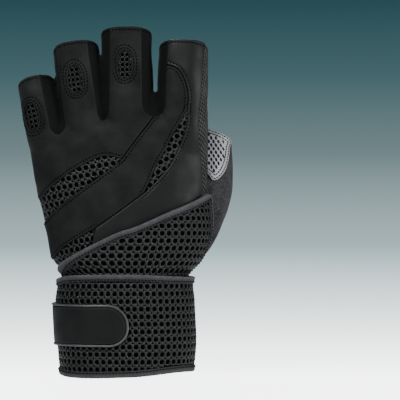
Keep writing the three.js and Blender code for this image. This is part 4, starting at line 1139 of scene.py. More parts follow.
HEM_ROW, SEAM_ROW, VENT_ROWS = 1.8, 1.6, (1.3, 2.9)
vent_lines = [np.vstack([line, line[:1]]) for line in map(vent_outline, vented)]
SEWN = {
    "back_panel": hem_rows("little", "ring", "middle") + seam_rows(seam(WINDOW_UPPER))
                  + [(along_line(line), at) for line in vent_lines for at in VENT_ROWS],
    "index_panel": hem_rows("index") + seam_rows(seam(INDEX_SEAM_ARC), index_seam_top),
    "knuckle_pad": seam_rows(seam(WINDOW_LOWER), seam(ARC_LEFT), index_seam_top, seam(LOW_UPPER), pad_seam),
    "palm_grip": hem_rows(*finger_hems) + seam_rows(seam(HEEL_ARC)),
    "heel_pad": seam_rows(seam(HEEL_ARC)),
    "index_side_gusset": hem_rows("index"),
    "little_side_gusset": hem_rows("little"),
    "cuff": [(lambda rim: rim[:, 2] < CUFF_HEM + 0.6, 2.2)],
    **{gusset: hem_rows(*gusset.split("_")[:2]) for gusset in gaps},
}
print("rows:", sum(len(rows) for rows in SEWN.values()))


# %% Sink the rows
def contour(sheet, field, height):
    """The line on a sheet where a field is zero, lifted off it: its points, ways up and edges."""
    _, _, ends, edges = crossings(sheet["faces"], field)
    return blend(raised(sheet, height), ends), unit(blend(sheet["normals"], ends)), edges.T


def sewn_rows(sheet, rows, height_of):
    """The sheet with a fine cut along each row, its distance from the rows, and the rows' lines."""
    rim = rim_samples(sheet)
    lines = []
    sheet["sewn"] = np.full(len(sheet["points"]), FAR)
    for test, offset in rows:
        chosen = rim[test(rim)]
        if len(chosen) < 4:
            print("a row found no rim")
            continue
        sheet["row"] = distance_from(sheet["points"], chosen) - offset
        line, ups, edges = contour(sheet, sheet["row"], height_of(sheet) - GROOVE_DEPTH + THREAD_PROUD)
        clear = distance_from(line, rim) > ROW_CLEAR * offset
        lines.append((line, ups, edges[clear[edges].all(1)]))
        for at in (-GROOVE_HALF, 0.0, GROOVE_HALF):
            sheet = cut(sheet, sheet["row"] - at, both=True)
        past_end = ROW_CLEAR * offset - sheet["room"]
        sheet["sewn"] = np.minimum(sheet["sewn"], np.maximum(np.abs(sheet["row"]), past_end))
    sheet["normals"] = unit(sheet["normals"])
    return sheet, lines


# %% Cut and sew the panels
stitch_lines = []
for name, (field, finish, slot, *body) in PANELS.items():
    sheet, lines = sewn_rows(region(field), SEWN.get(name, []), lambda s: outer_height(s, *body))
    stitch_lines += lines
    add_pillow(f"{name}_soft", sheet, body, finish, [name])
print("panels made:", [(name, count) for name, count in made_pieces])

# %% [markdown]
# ## The thumb's tongue
# A tongue of silver grip comes over the web from the palm and lies on the thumb's stall. It is a thin patch
# on the stall's skin, cut to its own outline and sewn down with two rows along its outer side.

# %% Thumb tongue
TONGUE_BODY = (1.5, 0.55, 0.5, 0.1, 3.0)
TONGUE_ROWS = (1.0, 2.6)


def outer_side(rim):
    return (rim[:, 0] > tongue_hem[0] - 6) | (rim[:, 2] < tongue_hem[2] - 0.3 * THUMB_LENGTH)


tongue_field = np.maximum.reduce([
    on_thumb + 0.4, outside(skin_xz, tongue_outline), skin_y - 0.95 * PALM_DEPTH, thumb_past + 0.4])
tongue_sheet, lines = sewn_rows(region(tongue_field), [(outer_side, at) for at in TONGUE_ROWS],
                                lambda s: outer_height(s, *TONGUE_BODY))
stitch_lines += lines
add_pillow("thumb_tongue_soft", tongue_sheet, TONGUE_BODY, "tongue", ["thumb_tongue"])
print("tongue:", made_pieces[-1])

# %% [markdown]
# ## The wrist wrap
# The wrap is one long strap, 55 mm wide. It starts on the thumb's side, leans across the back, winds once
# round the wrist and closes on itself. Its path is a rule: for each turn round the wrist, the table gives the
# heights of its two edges, and it climbs onto its own first layer near the thumb. So the strap is built on a
# grid of turn and height, and everything sewn on it uses the same grid.

# %% The wrap's path
WRAP_WIDTH, WRAP_THICK = 55.0, 2.2
WRAP_START, WRAP_END, WRAP_SLANT, SLANT_REACH = 18.0, 612.0, 28.0, 72.0
WRAP_END_RADIUS, BINDING_WIDTH, BINDING_PROUD = 12.0, 3.6, 0.5
HOOK_THICK, HOOK_START, HOOK_RADIUS = 0.9, 546.0, 7.0
TAB_START, TAB_WIDTH, TAB_HEIGHT, TAB_THICK, TAB_END_RADIUS = 448.0, 22.4, 28.0, 1.3, 5.0
RIM_WIDTH, RIM_PROUD = 1.2, 0.4
NET_FOOT = 1.3  # the height of the wrap's open net over its inner face
STRAP_STEP, TAB_STEP = 1.3, 0.9
CLIMB = (303.0, 340.0)
WRAP_ROWS = [
    # turn in degrees, lower edge, upper edge, both as shares of the wrap's width
    (0, 0.82, 1.86), (23, 0.69, 1.78), (66, 0.49, 1.59), (90, 0.35, 1.43), (110, 0.22, 1.28),
    (130, 0.12, 1.16), (165, 0.05, 1.04), (200, 0.03, 1.01), (270, 0.01, 0.99), (360, 0.04, 0.965),
    (405, 0.05, 0.98),
    (450, 0.01, 1.0), (500, 0.0, 0.985), (540, 0.02, 0.94), (620, 0.02, 0.95),
]
LAYER_STEP = WRAP_THICK + BINDING_PROUD + GAP + HOOK_THICK + GAP
wrap_curve = table_curve([row[0] for row in WRAP_ROWS], [row[1:] for row in WRAP_ROWS])


def wrap_point(turn, height, lift):
    """A point on the wrap: its turn, height and distance from the wrap's inner face."""
    turn, height, lift = np.broadcast_arrays(*(np.asarray(v, float) for v in (turn, height, lift)))
    fade = 1 - eased(turn, WRAP_START, WRAP_START + SLANT_REACH)
    low, high = wrap_curve(turn.ravel()).T
    upward = np.clip((height.ravel() / WRAP_WIDTH - low) / (high - low), 0, 1).reshape(turn.shape)
    leaned = turn - WRAP_SLANT * fade * (1 - upward)
    seat = PAD + GAP + LAYER_STEP * eased(turn, *CLIMB)
    return form_point(leaned, height, seat + lift, under_wrap=True)


fine_turns = np.linspace(WRAP_START - 12, WRAP_END + 12, 1400)
middle_line = wrap_point(fine_turns, WRAP_WIDTH / 2, WRAP_THICK)
run = np.concatenate([[0], np.cumsum(np.linalg.norm(np.diff(middle_line, axis=0), axis=1))])
run -= np.interp(WRAP_START, fine_turns, run)


def run_at(turn):
    """How many mm along the strap a turn is."""
    return np.interp(turn, fine_turns, run)


def turn_at(distance):
    return np.interp(distance, run, fine_turns)


STRAP_LENGTH = float(run_at(WRAP_END))
print("strap length in mm:", round(STRAP_LENGTH, 1))


# %% Sheets on the strap
def strap_edges(turn):
    return wrap_curve(np.atleast_1d(turn)).T * WRAP_WIDTH


def tab_edges(turn):
    return [np.full(np.shape(turn), TAB_HEIGHT + side * TAB_WIDTH / 2) for side in (-1, 1)]


TAB_END = float(turn_at(STRAP_LENGTH - BINDING_WIDTH - GAP))
BANDS = {
    # start and end in mm along the strap, edges, start and end radii
    "wrap": (0.0, STRAP_LENGTH, strap_edges, 4.0, WRAP_END_RADIUS),
    "tab": (float(run_at(TAB_START)), float(run_at(TAB_END)), tab_edges, TAB_WIDTH / 2 - 0.5, TAB_END_RADIUS),
    "hook": (float(run_at(HOOK_START)), STRAP_LENGTH, strap_edges, HOOK_RADIUS, WRAP_END_RADIUS),
}


def band_field(band, along, height):
    """How far places on the strap are outside a band with rounded corners."""
    start, end, edges, start_radius, end_radius = BANDS[band]
    low, high = edges(turn_at(along))
    half = (high - low) / 2
    near_end = along > (start + end) / 2
    radius = np.where(near_end, end_radius, start_radius)
    a = np.where(near_end, along - end, start - along) + radius
    b = np.abs(height - (low + high) / 2) - half + radius
    return np.hypot(np.maximum(a, 0), np.maximum(b, 0)) + np.minimum(np.maximum(a, b), 0) - radius


def showing(along, height):
    """Room on the strap where it shows: outside the tab, and not under its own second layer."""
    turn = turn_at(along)
    over = wrap_curve(np.clip(turn + 360, 0, WRAP_ROWS[-1][0]))[:, 1] * WRAP_WIDTH
    covered = np.where(turn < 250, height - over + 5.0, 50.0)
    return np.minimum(band_field("tab", along, height) + 2.5, covered)


def strap_sheet(band, inset, lift, step):
    """A sheet on the strap inside a band, with its place on the flat strap as its uv."""
    start, end, edges, _, _ = BANDS[band]
    along = np.linspace(start, end, int((end - start) / step) + 2)
    low, high = edges(turn_at(along))
    rows = int((high - low).max() / step) + 2
    share = np.linspace(0, 1, rows)
    height = low[:, None] + (high - low)[:, None] * share
    along = np.broadcast_to(along[:, None], height.shape)
    points = wrap_point(turn_at(along), height, lift).reshape(-1, 3)
    above = wrap_point(turn_at(along), height, lift + 1.0).reshape(-1, 3)
    i = np.arange(height.shape[0] - 1)[:, None] * rows + np.arange(rows - 1)
    a, b, c, d = (k.ravel() for k in (i, i + 1, i + rows + 1, i + rows))
    faces = np.concatenate([np.stack([a, b, c], 1), np.stack([a, c, d], 1)])
    sheet = {"points": points, "faces": faces}
    normals = normals_of(points, faces)
    turned = ((above - points) * normals).sum(1).mean() < 0
    sheet["normals"] = -normals if turned else normals
    if turned:
        sheet["faces"] = faces[:, ::-1]
    sheet["flat"] = np.stack([STRAP_LENGTH + 20 - along.ravel(), height.ravel()], 1)
    field = band_field(band, along.ravel(), height.ravel()) + inset
    sheet["room"] = -field
    sheet["showing"] = showing(along.ravel(), height.ravel())
    return cut(sheet, field)


def strap_pillow(name, band, inset, bottom, top, radius, step, finish):
    """A flat soft piece on the strap, inside a band, between two heights over the wrap's inner face."""
    sheet = strap_sheet(band, inset, (bottom + top) / 2, step)
    for at in EDGE_LOOPS[:2]:
        sheet = cut(sheet, at - sheet["room"], both=True)
    half = (top - bottom) / 2
    nodes = [name.replace("_soft", "").replace("_backing", "")]
    add_pillow(name, sheet, (half, -half, radius), finish, nodes)


ON_WRAP = WRAP_THICK + GAP
strap_pillow("wrist_wrap_backing", "wrap", BINDING_WIDTH - 0.6, 0.0, NET_FOOT, 0.5, STRAP_STEP,
             "backing")
strap_pillow("hook_pad_soft", "hook", BINDING_WIDTH + GAP, -GAP - HOOK_THICK, -GAP, 0.4, STRAP_STEP,
             "hook")
strap_pillow("closing_tab_soft", "tab", RIM_WIDTH + GAP - 0.2, ON_WRAP, ON_WRAP + TAB_THICK, 0.5, TAB_STEP,
             "rubber")
print("strap sheets:", made_pieces[-3:])


# %% [markdown]
# ## Bound edges
# The strap's raw edge is closed with a woven tape folded over it. A tape is a small rounded section swept
# along the strap's outline, and one row of stitches holds it. The tab's raised rim is made in the same way
# with its own section.

# %% Tape along an outline
def band_outline(band, step):
    """The band's outline as places on the flat strap, anticlockwise, with the way inwards at each."""
    start, end, edges, start_radius, end_radius = BANDS[band]
    places = []
    for at, radius, side, top in ((start, start_radius, -1, 1), (start, start_radius, -1, 0),
                                  (end, end_radius, 1, 0), (end, end_radius, 1, 1)):
        for angle in np.linspace(0, math.pi / 2, max(3, int(radius * 1.6 / step) + 2)):
            turn_in = angle if (side < 0) != (top == 0) else math.pi / 2 - angle
            along = at - side * radius * (1 - math.sin(turn_in))
            low, high = (float(np.ravel(v)[0]) for v in edges(turn_at(np.array([along]))))
            edge, way = (high, -1) if top else (low, 1)
            places.append((along, edge + way * radius * (1 - math.cos(turn_in)), side, top))
    line = []
    for k, (along, height, side, top) in enumerate(places):
        line.append((along, height))
        following = places[(k + 1) % len(places)]
        if top == following[3] and side != following[2]:
            inner = np.linspace(along, following[0], int(abs(following[0] - along) / step) + 2)[1:-1]
            low, high = edges(turn_at(inner))
            line += list(zip(inner, high if top else low))
        elif side == following[2] and top != following[3]:
            inner = np.linspace(height, following[1], int(abs(following[1] - height) / step) + 2)[1:-1]
            line += [(along, value) for value in inner]
    line = np.array(line)
    keep = np.linalg.norm(line - np.roll(line, 1, axis=0), axis=1) > 0.02
    line = line[keep]
    ahead = unit(np.roll(line, -1, axis=0) - np.roll(line, 1, axis=0))
    inwards = np.stack([-ahead[:, 1], ahead[:, 0]], 1)
    middle = line.mean(0)
    if ((middle - line) * inwards).sum() < 0:
        inwards = -inwards
    return line, inwards


def inset_points(outline, inset, lift):
    """Points at an inset from an outline, at a height over the wrap's inner face."""
    line, inwards = outline
    place = line + inwards * inset
    return wrap_point(turn_at(place[:, 0]), place[:, 1], lift)


def swept(band, section, step):
    """A closed tape: a section of (inset, lift) places swept along a band's outline."""
    outline = band_outline(band, step)
    points = np.stack([inset_points(outline, *place) for place in section], 1)
    n, m = points.shape[:2]
    i, j = np.arange(n)[:, None], np.arange(m)
    this, following, beside = i * m, (i + 1) % n * m, (j + 1) % m
    quads = np.stack([this + j, this + beside, following + beside, following + j], -1).reshape(-1, 4)
    points = points.reshape(-1, 3)
    a, b, c = (points[quads[:, k]] for k in range(3))
    volume = (np.cross(b - a, c - a) * a).sum()
    return points, quads if volume > 0 else quads[:, ::-1]


def rounded_section(width, bottom, top, power, count):
    angles = np.linspace(0, 2 * math.pi, count, endpoint=False)
    c, s = np.cos(angles), np.sin(angles)
    x = width / 2 + width / 2 * np.sign(c) * np.abs(c) ** power
    y = (bottom + top) / 2 + (top - bottom) / 2 * np.sign(s) * np.abs(s) ** power
    return list(zip(x, y))


def add_tape(name, band, section, step, finish, values_of=lambda insets: {}):
    """A tape along a band's outline, with values that go by how far in each point lies."""
    points, faces = swept(band, section, step)
    insets = np.tile([inset for inset, lift in section], len(points) // len(section))
    add_piece(name + "_soft", mesh_from(name, points, faces, values_of(insets)), finish, [name])


def taped_row(band, inset, lift):
    """A row of stitches along a band's outline, as points, ways up and edges."""
    outline = band_outline(band, 1.0)
    low, high = (inset_points(outline, inset, at) for at in (lift, lift + 1.0))
    start = np.arange(len(low))
    return low, unit(high - low), np.stack([start, (start + 1) % len(low)], 1)


BINDING_ROW = 2.7
binding_section = rounded_section(BINDING_WIDTH, 0.0, WRAP_THICK + BINDING_PROUD, 0.45, 24)
# painted highlight: the outer fold is painted lighter than the sewn side, and the sewn row gets a line of
# painted shade
add_tape("wrap_binding", "wrap", binding_section, 1.0, "binding",
         lambda insets: {"room": 0.8 + 0.25 * insets, "sewn": np.abs(insets - BINDING_ROW)})
stitch_lines.append(taped_row("wrap", BINDING_ROW, WRAP_THICK + BINDING_PROUD))
rim_section = rounded_section(RIM_WIDTH, ON_WRAP, ON_WRAP + TAB_THICK + RIM_PROUD, 0.8, 12)
add_tape("tab_rim", "tab", rim_section, 0.8, "rim")
print("tapes:", made_pieces[-2:])

# %% [markdown]
# ## A lattice on a surface
# Perforations and grip dots repeat in rows. A node tree lays the rows out flat, as they were knitted or
# printed, and finds each place on the piece through its flat coordinates (its UV map). Places that fall
# outside the piece, or too near its rim, are dropped.

# %% Lattice tree
GEOMETRY, INTEGER, MATERIAL = "NodeSocketGeometry", "NodeSocketInt", "NodeSocketMaterial"


def attribute(tree, name, data_type="FLOAT"):
    return out(tree, "GeometryNodeInputNamedAttribute", {"Name": name}, data_type=data_type)


def up_at(tree):
    return attribute(tree, "up", "FLOAT_VECTOR")


def on_surface(tree, surface, value, place, data_type="FLOAT_VECTOR"):
    """What a surface holds at a place of its flat coordinates, and whether it reaches there."""
    made = node(tree, "GeometryNodeSampleUVSurface", data_type=data_type)
    sources = (surface, value, attribute(tree, "flat", "FLOAT_VECTOR"), place)
    feed(made, dict(enumerate(sources)))
    return made.outputs[0], made.outputs[1]


def position(tree):
    return out(tree, "GeometryNodeInputPosition")


def moved_to(tree, geometry, place):
    return out(tree, "GeometryNodeSetPosition", {"Geometry": geometry, "Position": place})


def turned_flat(tree, place, angle):
    return out(tree, "ShaderNodeVectorRotate", {"Vector": place, "Angle": angle}, rotation_type="Z_AXIS")


def without(tree, geometry, selection):
    deleting = {"Geometry": geometry, "Selection": selection}
    return out(tree, "GeometryNodeDeleteGeometry", deleting, domain="POINT")


def end_tree(tree, geometry, inputs, outputs):
    """Ends a tree with real points in place of instances, and with the material that came in."""
    real = out(tree, "GeometryNodeRealizeInstances", {"Geometry": geometry})
    dressed = out(tree, "GeometryNodeSetMaterial", {"Geometry": real, "Material": inputs["Material"]})
    tree.links.new(dressed, outputs[0])
    print(tree.name, "has", len(tree.nodes), "nodes")


lattice, inputs, outputs = new_tree(
    "lattice_on_surface", "GeometryNodeTree",
    [("Surface", GEOMETRY, None), ("Pitch", FLOAT, 0.003), ("Row pitch", FLOAT, 0.0026),
     ("Columns", INTEGER, 20), ("Rows", INTEGER, 20), ("Centre", VECTOR, None), ("Angle", FLOAT, 0.0),
     ("Margin", FLOAT, 0.0), ("Stagger", FLOAT, 0.0)],
    [("Points", GEOMETRY)],
)
tree = lattice
wide, tall = (
    maths(tree, "MULTIPLY", maths(tree, "SUBTRACT", inputs[count], 1.0), inputs[pitch])
    for count, pitch in (("Columns", "Pitch"), ("Rows", "Row pitch")))
grid = out(tree, "GeometryNodeMeshGrid", {
    "Size X": wide, "Size Y": tall, "Vertices X": inputs["Columns"], "Vertices Y": inputs["Rows"]})
row = maths(tree, "MODULO", out(tree, "GeometryNodeInputIndex"), inputs["Rows"])
step = maths(tree, "MULTIPLY", inputs["Pitch"], inputs["Stagger"])
stagger = maths(tree, "MULTIPLY", maths(tree, "MODULO", row, 2.0), step)
place = vector_maths(tree, "ADD", position(tree), out(tree, "ShaderNodeCombineXYZ", {"X": stagger}))
place = vector_maths(tree, "ADD", turned_flat(tree, place, inputs["Angle"]), inputs["Centre"])
laid = moved_to(tree, grid, place)
room, valid = on_surface(tree, inputs["Surface"], attribute(tree, "room"), position(tree), "FLOAT")
near_rim = out(tree, "FunctionNodeCompare", {0: room, 1: inputs["Margin"]}, operation="LESS_THAN")
off = out(tree, "FunctionNodeBooleanMath", {0: valid}, operation="NOT")
drop = out(tree, "FunctionNodeBooleanMath", {0: off, 1: near_rim}, operation="OR")
tree.links.new(without(tree, laid, drop), outputs["Points"])
print("lattice tree:", len(tree.nodes), "nodes")


def lattice_points(tree, inputs, *more):
    """The lattice's points, from the inputs that another tree has under the same names."""
    keys = ("Surface", "Pitch", "Row pitch", "Columns", "Rows", "Centre", "Angle", "Margin", *more)
    return out(tree, "GeometryNodeGroup", {key: inputs[key] for key in keys}, node_tree=lattice)


# %% [markdown]
# ## Air mesh
# This spacer mesh is knitted on a square lattice: a large round hole in each square, and a small one where
# four squares meet. The strands between them run crosswise. One square is drawn here as a flat cell whose
# sides match its neighbours', so a lattice of cells is one net. It is thickened flat, and then every point is
# carried to its place on the glove. Real holes throw real shadows from every side.

# %% One cell of the mesh
MESH_PITCH, MESH_ROW = 3.6, 4.0
HOLE_RADIUS, SMALL_HOLE_RADIUS = 1.26, 0.56


def mesh_cell(pitch, row_pitch, hole, small_hole):
    """A flat square with a round hole and its corners cut by quarter circles."""
    x, z, r = pitch / 2, row_pitch / 2, small_hole
    side = [(x, 0, 1.0), (x, z - r, 0.3), (x - 0.7 * r, z - 0.7 * r, 0.2), (x - r, z, 0.3), (0, z, 1.0)]
    outline = side[:-1] + [(-px, pz, h) for px, pz, h in side[:0:-1]]
    outline += [(-px, -pz, h) for px, pz, h in outline]
    count = len(outline)
    points = [(px, pz, 0) for px, pz, _ in outline]
    for px, pz, _ in outline:
        way = unit(np.array([px / x, pz / z])) if abs(px) > 0 and abs(pz) > 0 else unit(np.array([px, pz]))
        points.append((*(way * hole), 0))
    faces = [(i, (i + 1) % count, count + (i + 1) % count, count + i) for i in range(count)]
    mesh = plain_mesh("mesh_cell", points, faces)
    set_values(mesh, "ridge", [h for _, _, h in outline] + [0.0] * count)
    return placed("mesh_cell", mesh)


cell_object = mesh_cell(MESH_PITCH, MESH_ROW, HOLE_RADIUS, SMALL_HOLE_RADIUS)
VENT_MESH_SCALE = 0.68
fine_sizes = VENT_MESH_SCALE * np.array([MESH_PITCH, MESH_ROW, 1.12 * HOLE_RADIUS, SMALL_HOLE_RADIUS])
fine_cell = mesh_cell(*fine_sizes)
print("cell:", len(cell_object.data.polygons), "faces")

# %% Net tree
net, inputs, outputs = new_tree(
    "air_mesh", "GeometryNodeTree",
    [("Surface", GEOMETRY, None), ("Cell", "NodeSocketObject", None), ("Pitch", FLOAT, MESH_PITCH * MM),
     ("Row pitch", FLOAT, MESH_ROW * MM), ("Thickness", FLOAT, 0.0007), ("Strand crown", FLOAT, 0.0002),
     ("Columns", INTEGER, 20), ("Rows", INTEGER, 20), ("Centre", VECTOR, None),
     ("Angle", FLOAT, 0.0), ("Margin", FLOAT, 0.0), ("Material", MATERIAL, None)],
    [("Net", GEOMETRY)],
)
tree = net
cell = node(tree, "GeometryNodeObjectInfo", {"Object": inputs["Cell"]}).outputs["Geometry"]
cell = moved_to(tree, cell, turned_flat(tree, position(tree), inputs["Angle"]))
spread = out(tree, "GeometryNodeInstanceOnPoints", {"Points": lattice_points(tree, inputs), "Instance": cell})
flat_net = out(tree, "GeometryNodeRealizeInstances", {"Geometry": spread})
flat_net = out(tree, "GeometryNodeMergeByDistance", {"Geometry": flat_net, "Distance": 0.00005})
reached = on_surface(tree, inputs["Surface"], attribute(tree, "room"), position(tree), "FLOAT")[1]
flat_net = without(tree, flat_net, out(tree, "FunctionNodeBooleanMath", {0: reached}, operation="NOT"))
thick = node(tree, "GeometryNodeExtrudeMesh", {
    "Mesh": flat_net, "Offset": out(tree, "ShaderNodeCombineXYZ", {"Z": 1.0}),
    "Offset Scale": inputs["Thickness"], "Individual": False}, mode="FACES")
crown = maths(tree, "MULTIPLY", attribute(tree, "ridge"), inputs["Strand crown"])
top = out(tree, "GeometryNodeSetPosition", {
    "Geometry": thick.outputs["Mesh"], "Selection": thick.outputs["Top"],
    "Offset": out(tree, "ShaderNodeCombineXYZ", {"Z": crown})})
top = out(tree, "GeometryNodeStoreNamedAttribute", {
    "Geometry": top, "Selection": thick.outputs["Top"], "Name": "is_top", "Value": 1.0},
    data_type="FLOAT", domain="FACE")
both = node(tree, "GeometryNodeJoinGeometry")
for part in (top, out(tree, "GeometryNodeFlipFaces", {"Mesh": flat_net})):
    tree.links.new(part, both.inputs[0])
whole = out(tree, "GeometryNodeMergeByDistance", {"Geometry": both.outputs[0], "Distance": 0.00002})
here = position(tree)
point_there = on_surface(tree, inputs["Surface"], position(tree), here)[0]
up_there = on_surface(tree, inputs["Surface"], up_at(tree), here)[0]
level = node(tree, "ShaderNodeSeparateXYZ", {0: here}).outputs["Z"]
there = vector_maths(tree, "ADD", point_there, vector_maths(tree, "SCALE", up_there, level))
is_top = out(tree, "FunctionNodeCompare", {0: attribute(tree, "is_top"), 1: 0.5}, operation="GREATER_THAN")
shaded = out(tree, "GeometryNodeSetShadeSmooth", {
    "Geometry": moved_to(tree, whole, there), "Shade Smooth": is_top})
end_tree(tree, shaded, inputs, outputs)


# %% Run a tree on a carrier
def grow(name, carrier, tree, values, finish, node_name=None):
    """A piece that a tree makes from a carrier mesh, on one CAD node where it is named."""
    host = placed(name + "_carrier", carrier)
    modifier = host.modifiers.new(tree.name, "NODES")
    modifier.node_group = tree
    values = {**values, "Material": finishes[finish]}
    for item in tree.interface.items_tree:
        if item.in_out == "INPUT" and item.name in values:
            modifier[item.identifier] = values[item.name]
    mesh = evaluated_copy(host)
    bpy.data.objects.remove(host)
    mesh.name = name
    add_piece(name, mesh, finish, [node_name] if node_name else [])
    print(made_pieces[-1])


def carrier_of(sheet, height):
    return mesh_from("carrier", raised(sheet, height), sheet["faces"],
                     {"room": sheet["room"], "flat": sheet["flat"], "up": sheet["normals"]})


def laid_out(flat, pitch, row_pitch, angle=0.0):
    """Columns, rows and centre of a lattice that covers flat coordinates in mm."""
    low, high = flat.min(0), flat.max(0)
    wide, tall = high - low
    if angle:
        wide = tall = math.hypot(wide, tall)
    return {"Columns": int(wide / pitch) + 4, "Rows": int(tall / row_pitch) + 4, "Angle": angle,
            "Centre": (*((low + high) / 2 * MM), 0.0), "Pitch": pitch * MM, "Row pitch": row_pitch * MM}


# %% Mesh on the strap
strap = strap_sheet("wrap", BINDING_WIDTH - 1.6, NET_FOOT, STRAP_STEP)
strap["room"] = np.minimum(strap["room"], strap["showing"])
grow("wrist_wrap_net", carrier_of(strap, 0.0), net, {
    **laid_out(strap["flat"], MESH_PITCH, MESH_ROW), "Cell": cell_object, "Margin": 0.6},
    "strands", "wrist_wrap")

# %% [markdown]
# ## Mesh in the windows and vents
# The long window, the crescent and the low window are filled with the same air mesh, and the oval vents with
# a finer one. It runs a little way under the leather, as it does when the leather's edge is folded and
# stitched over it. Flat coordinates here are the way round the hand and the height, or the drawing's own.

# %% Flat coordinates on the skin
ROUND_HEIGHT = 0.75 * BODY_HEIGHT
round_turns = np.linspace(180, 0, 400)
round_line = form_point(round_turns, ROUND_HEIGHT, MIDDLE)
round_run = np.concatenate([[0], np.cumsum(np.linalg.norm(np.diff(round_line[:, :2], axis=0), axis=1))])


def flat_place(points):
    """How far round the back of the hand a point lies, from the little finger's side, and its height."""
    rows = form_curve(np.minimum(points[:, 2], 0.95 * BODY_HEIGHT))
    little, thumb, back = rows[:, 0], rows[:, 1], rows[:, 3]
    across = (points[:, 0] - (thumb - little) / 2) / ((thumb + little) / 2 + MIDDLE)
    towards_back = np.maximum(-points[:, 1], 0) / (back + MIDDLE)
    power = 1 / SQUARENESS
    turn = np.degrees(np.arctan2(np.abs(towards_back) ** power, np.sign(across) * np.abs(across) ** power))
    return np.stack([np.interp(180 - turn, 180 - round_turns, round_run), points[:, 2]], 1)


skin_flat = flat_place(skin_points)
facing_flat = skin_xz + 200.0
VENT_BODY = (-0.78, INNER, 0.2)
UNDER_EDGE = 1.3
WINDOWS = {
    # name: field, flat coordinates, angle of the rows
    "back_mesh_window": (sides["back_mesh_window"], skin_flat, 0.16),
    "arc_mesh_window": (sides["arc_mesh_window"], facing_flat, 0.5),
    "low_mesh_window": (sides["low_mesh_window"], skin_flat, 0.16),
    **{f"{f['name']}_vent": (vents[f["name"]], facing_flat, math.radians(f["lean"])) for f in vented},
}
for name, (field, flat, angle) in WINDOWS.items():
    beneath = np.maximum.reduce([field - UNDER_EDGE, hand_only, past_hem, skin_y])
    sheet = region(beneath, {"flat": flat})
    scale, foot, cell, finish = 1.0, -0.25, cell_object, "strands"
    if name.endswith("_vent"):
        scale, foot, cell, finish = VENT_MESH_SCALE, -0.75, fine_cell, "vent_strands"
        inside = region(np.maximum(field + SEAM_GAP, skin_y))
        add_pillow(name + "_backing", inside, VENT_BODY, "backing", [name])
    grow(name + "_net", carrier_of(sheet, foot), net, {
        **laid_out(sheet["flat"], scale * MESH_PITCH, scale * MESH_ROW, angle), "Cell": cell, "Margin": 0.2},
        finish, name)
bpy.data.objects.remove(cell_object)
bpy.data.objects.remove(fine_cell)

# %% [markdown]
# ## Grip dots
# The palm and the thumb's tongue carry rows of small dark rubber dots printed on the silver cloth. A dot is a
# low dome. The tree sets one on each lattice place, square to the cloth.

# %% Dot tree
def ball(tree, segments, rings, radius, shape):
    """A smooth ball, stretched to a shape."""
    made = out(tree, "GeometryNodeMeshUVSphere", {"Segments": segments, "Rings": rings, "Radius": radius})
    made = out(tree, "GeometryNodeTransform", {"Geometry": made, "Scale": shape})
    return out(tree, "GeometryNodeSetShadeSmooth", {"Geometry": made, "Shade Smooth": True})


dots, inputs, outputs = new_tree(
    "grip_dots", "GeometryNodeTree",
    [("Surface", GEOMETRY, None), ("Pitch", FLOAT, 0.004), ("Row pitch", FLOAT, 0.0035),
     ("Dot radius", FLOAT, 0.0008), ("Dot length", FLOAT, 1.0), ("Dot height", FLOAT, 0.3),
     ("Columns", INTEGER, 20), ("Rows", INTEGER, 20),
     ("Centre", VECTOR, None), ("Angle", FLOAT, 0.0), ("Margin", FLOAT, 1.5), ("Stagger", FLOAT, 0.5),
     ("Material", MATERIAL, None)],
    [("Dots", GEOMETRY)],
)
tree = dots
here = position(tree)
facing = on_surface(tree, inputs["Surface"], up_at(tree), here)[0]
marked = out(tree, "GeometryNodeStoreNamedAttribute", {
    "Geometry": lattice_points(tree, inputs, "Stagger"), "Name": "facing", "Value": facing},
    data_type="FLOAT_VECTOR", domain="POINT")
laid = moved_to(tree, marked, on_surface(tree, inputs["Surface"], position(tree), here)[0])
square_on = out(tree, "FunctionNodeAxesToRotation", {
    "Primary Axis": attribute(tree, "facing", "FLOAT_VECTOR"),
    "Secondary Axis": out(tree, "ShaderNodeCombineXYZ", {"Z": 1.0})}, primary_axis="Z", secondary_axis="X")
shape = out(tree, "ShaderNodeCombineXYZ", {"X": inputs["Dot length"], "Y": 1.0, "Z": inputs["Dot height"]})
dome = ball(tree, 8, 5, inputs["Dot radius"], shape)
spread = out(tree, "GeometryNodeInstanceOnPoints", {"Points": laid, "Instance": dome, "Rotation": square_on})
end_tree(tree, spread, inputs, outputs)


# %% Set the dots
DOT_MARGIN = 3.4


def dotted(name, field, height, pitch, row_pitch, values, node_name):
    sheet = region(field, {"flat": facing_flat})
    values = {**laid_out(sheet["flat"], pitch, row_pitch), "Margin": DOT_MARGIN, **values}
    grow(name, carrier_of(sheet, height), dots, values, "dots", node_name)


dotted("palm_dots", np.maximum(PANELS["palm_grip"][0], 2.0 - skin_y), 1.12, 3.6, 3.4,
       {"Dot radius": 0.00095}, "palm_grip")
dotted("tongue_dots", tongue_field, 1.55, 2.4, 2.0,
       {"Dot radius": 0.00072, "Dot length": 1.9}, "thumb_tongue")

# %% [markdown]
# ## Stitches
# The tree walks along each sewn row at the stitch length and sets a stitch on each step, lying along the row
# and pressed into its groove. Each is turned a little out of line from a fixed seed, as real ones are.

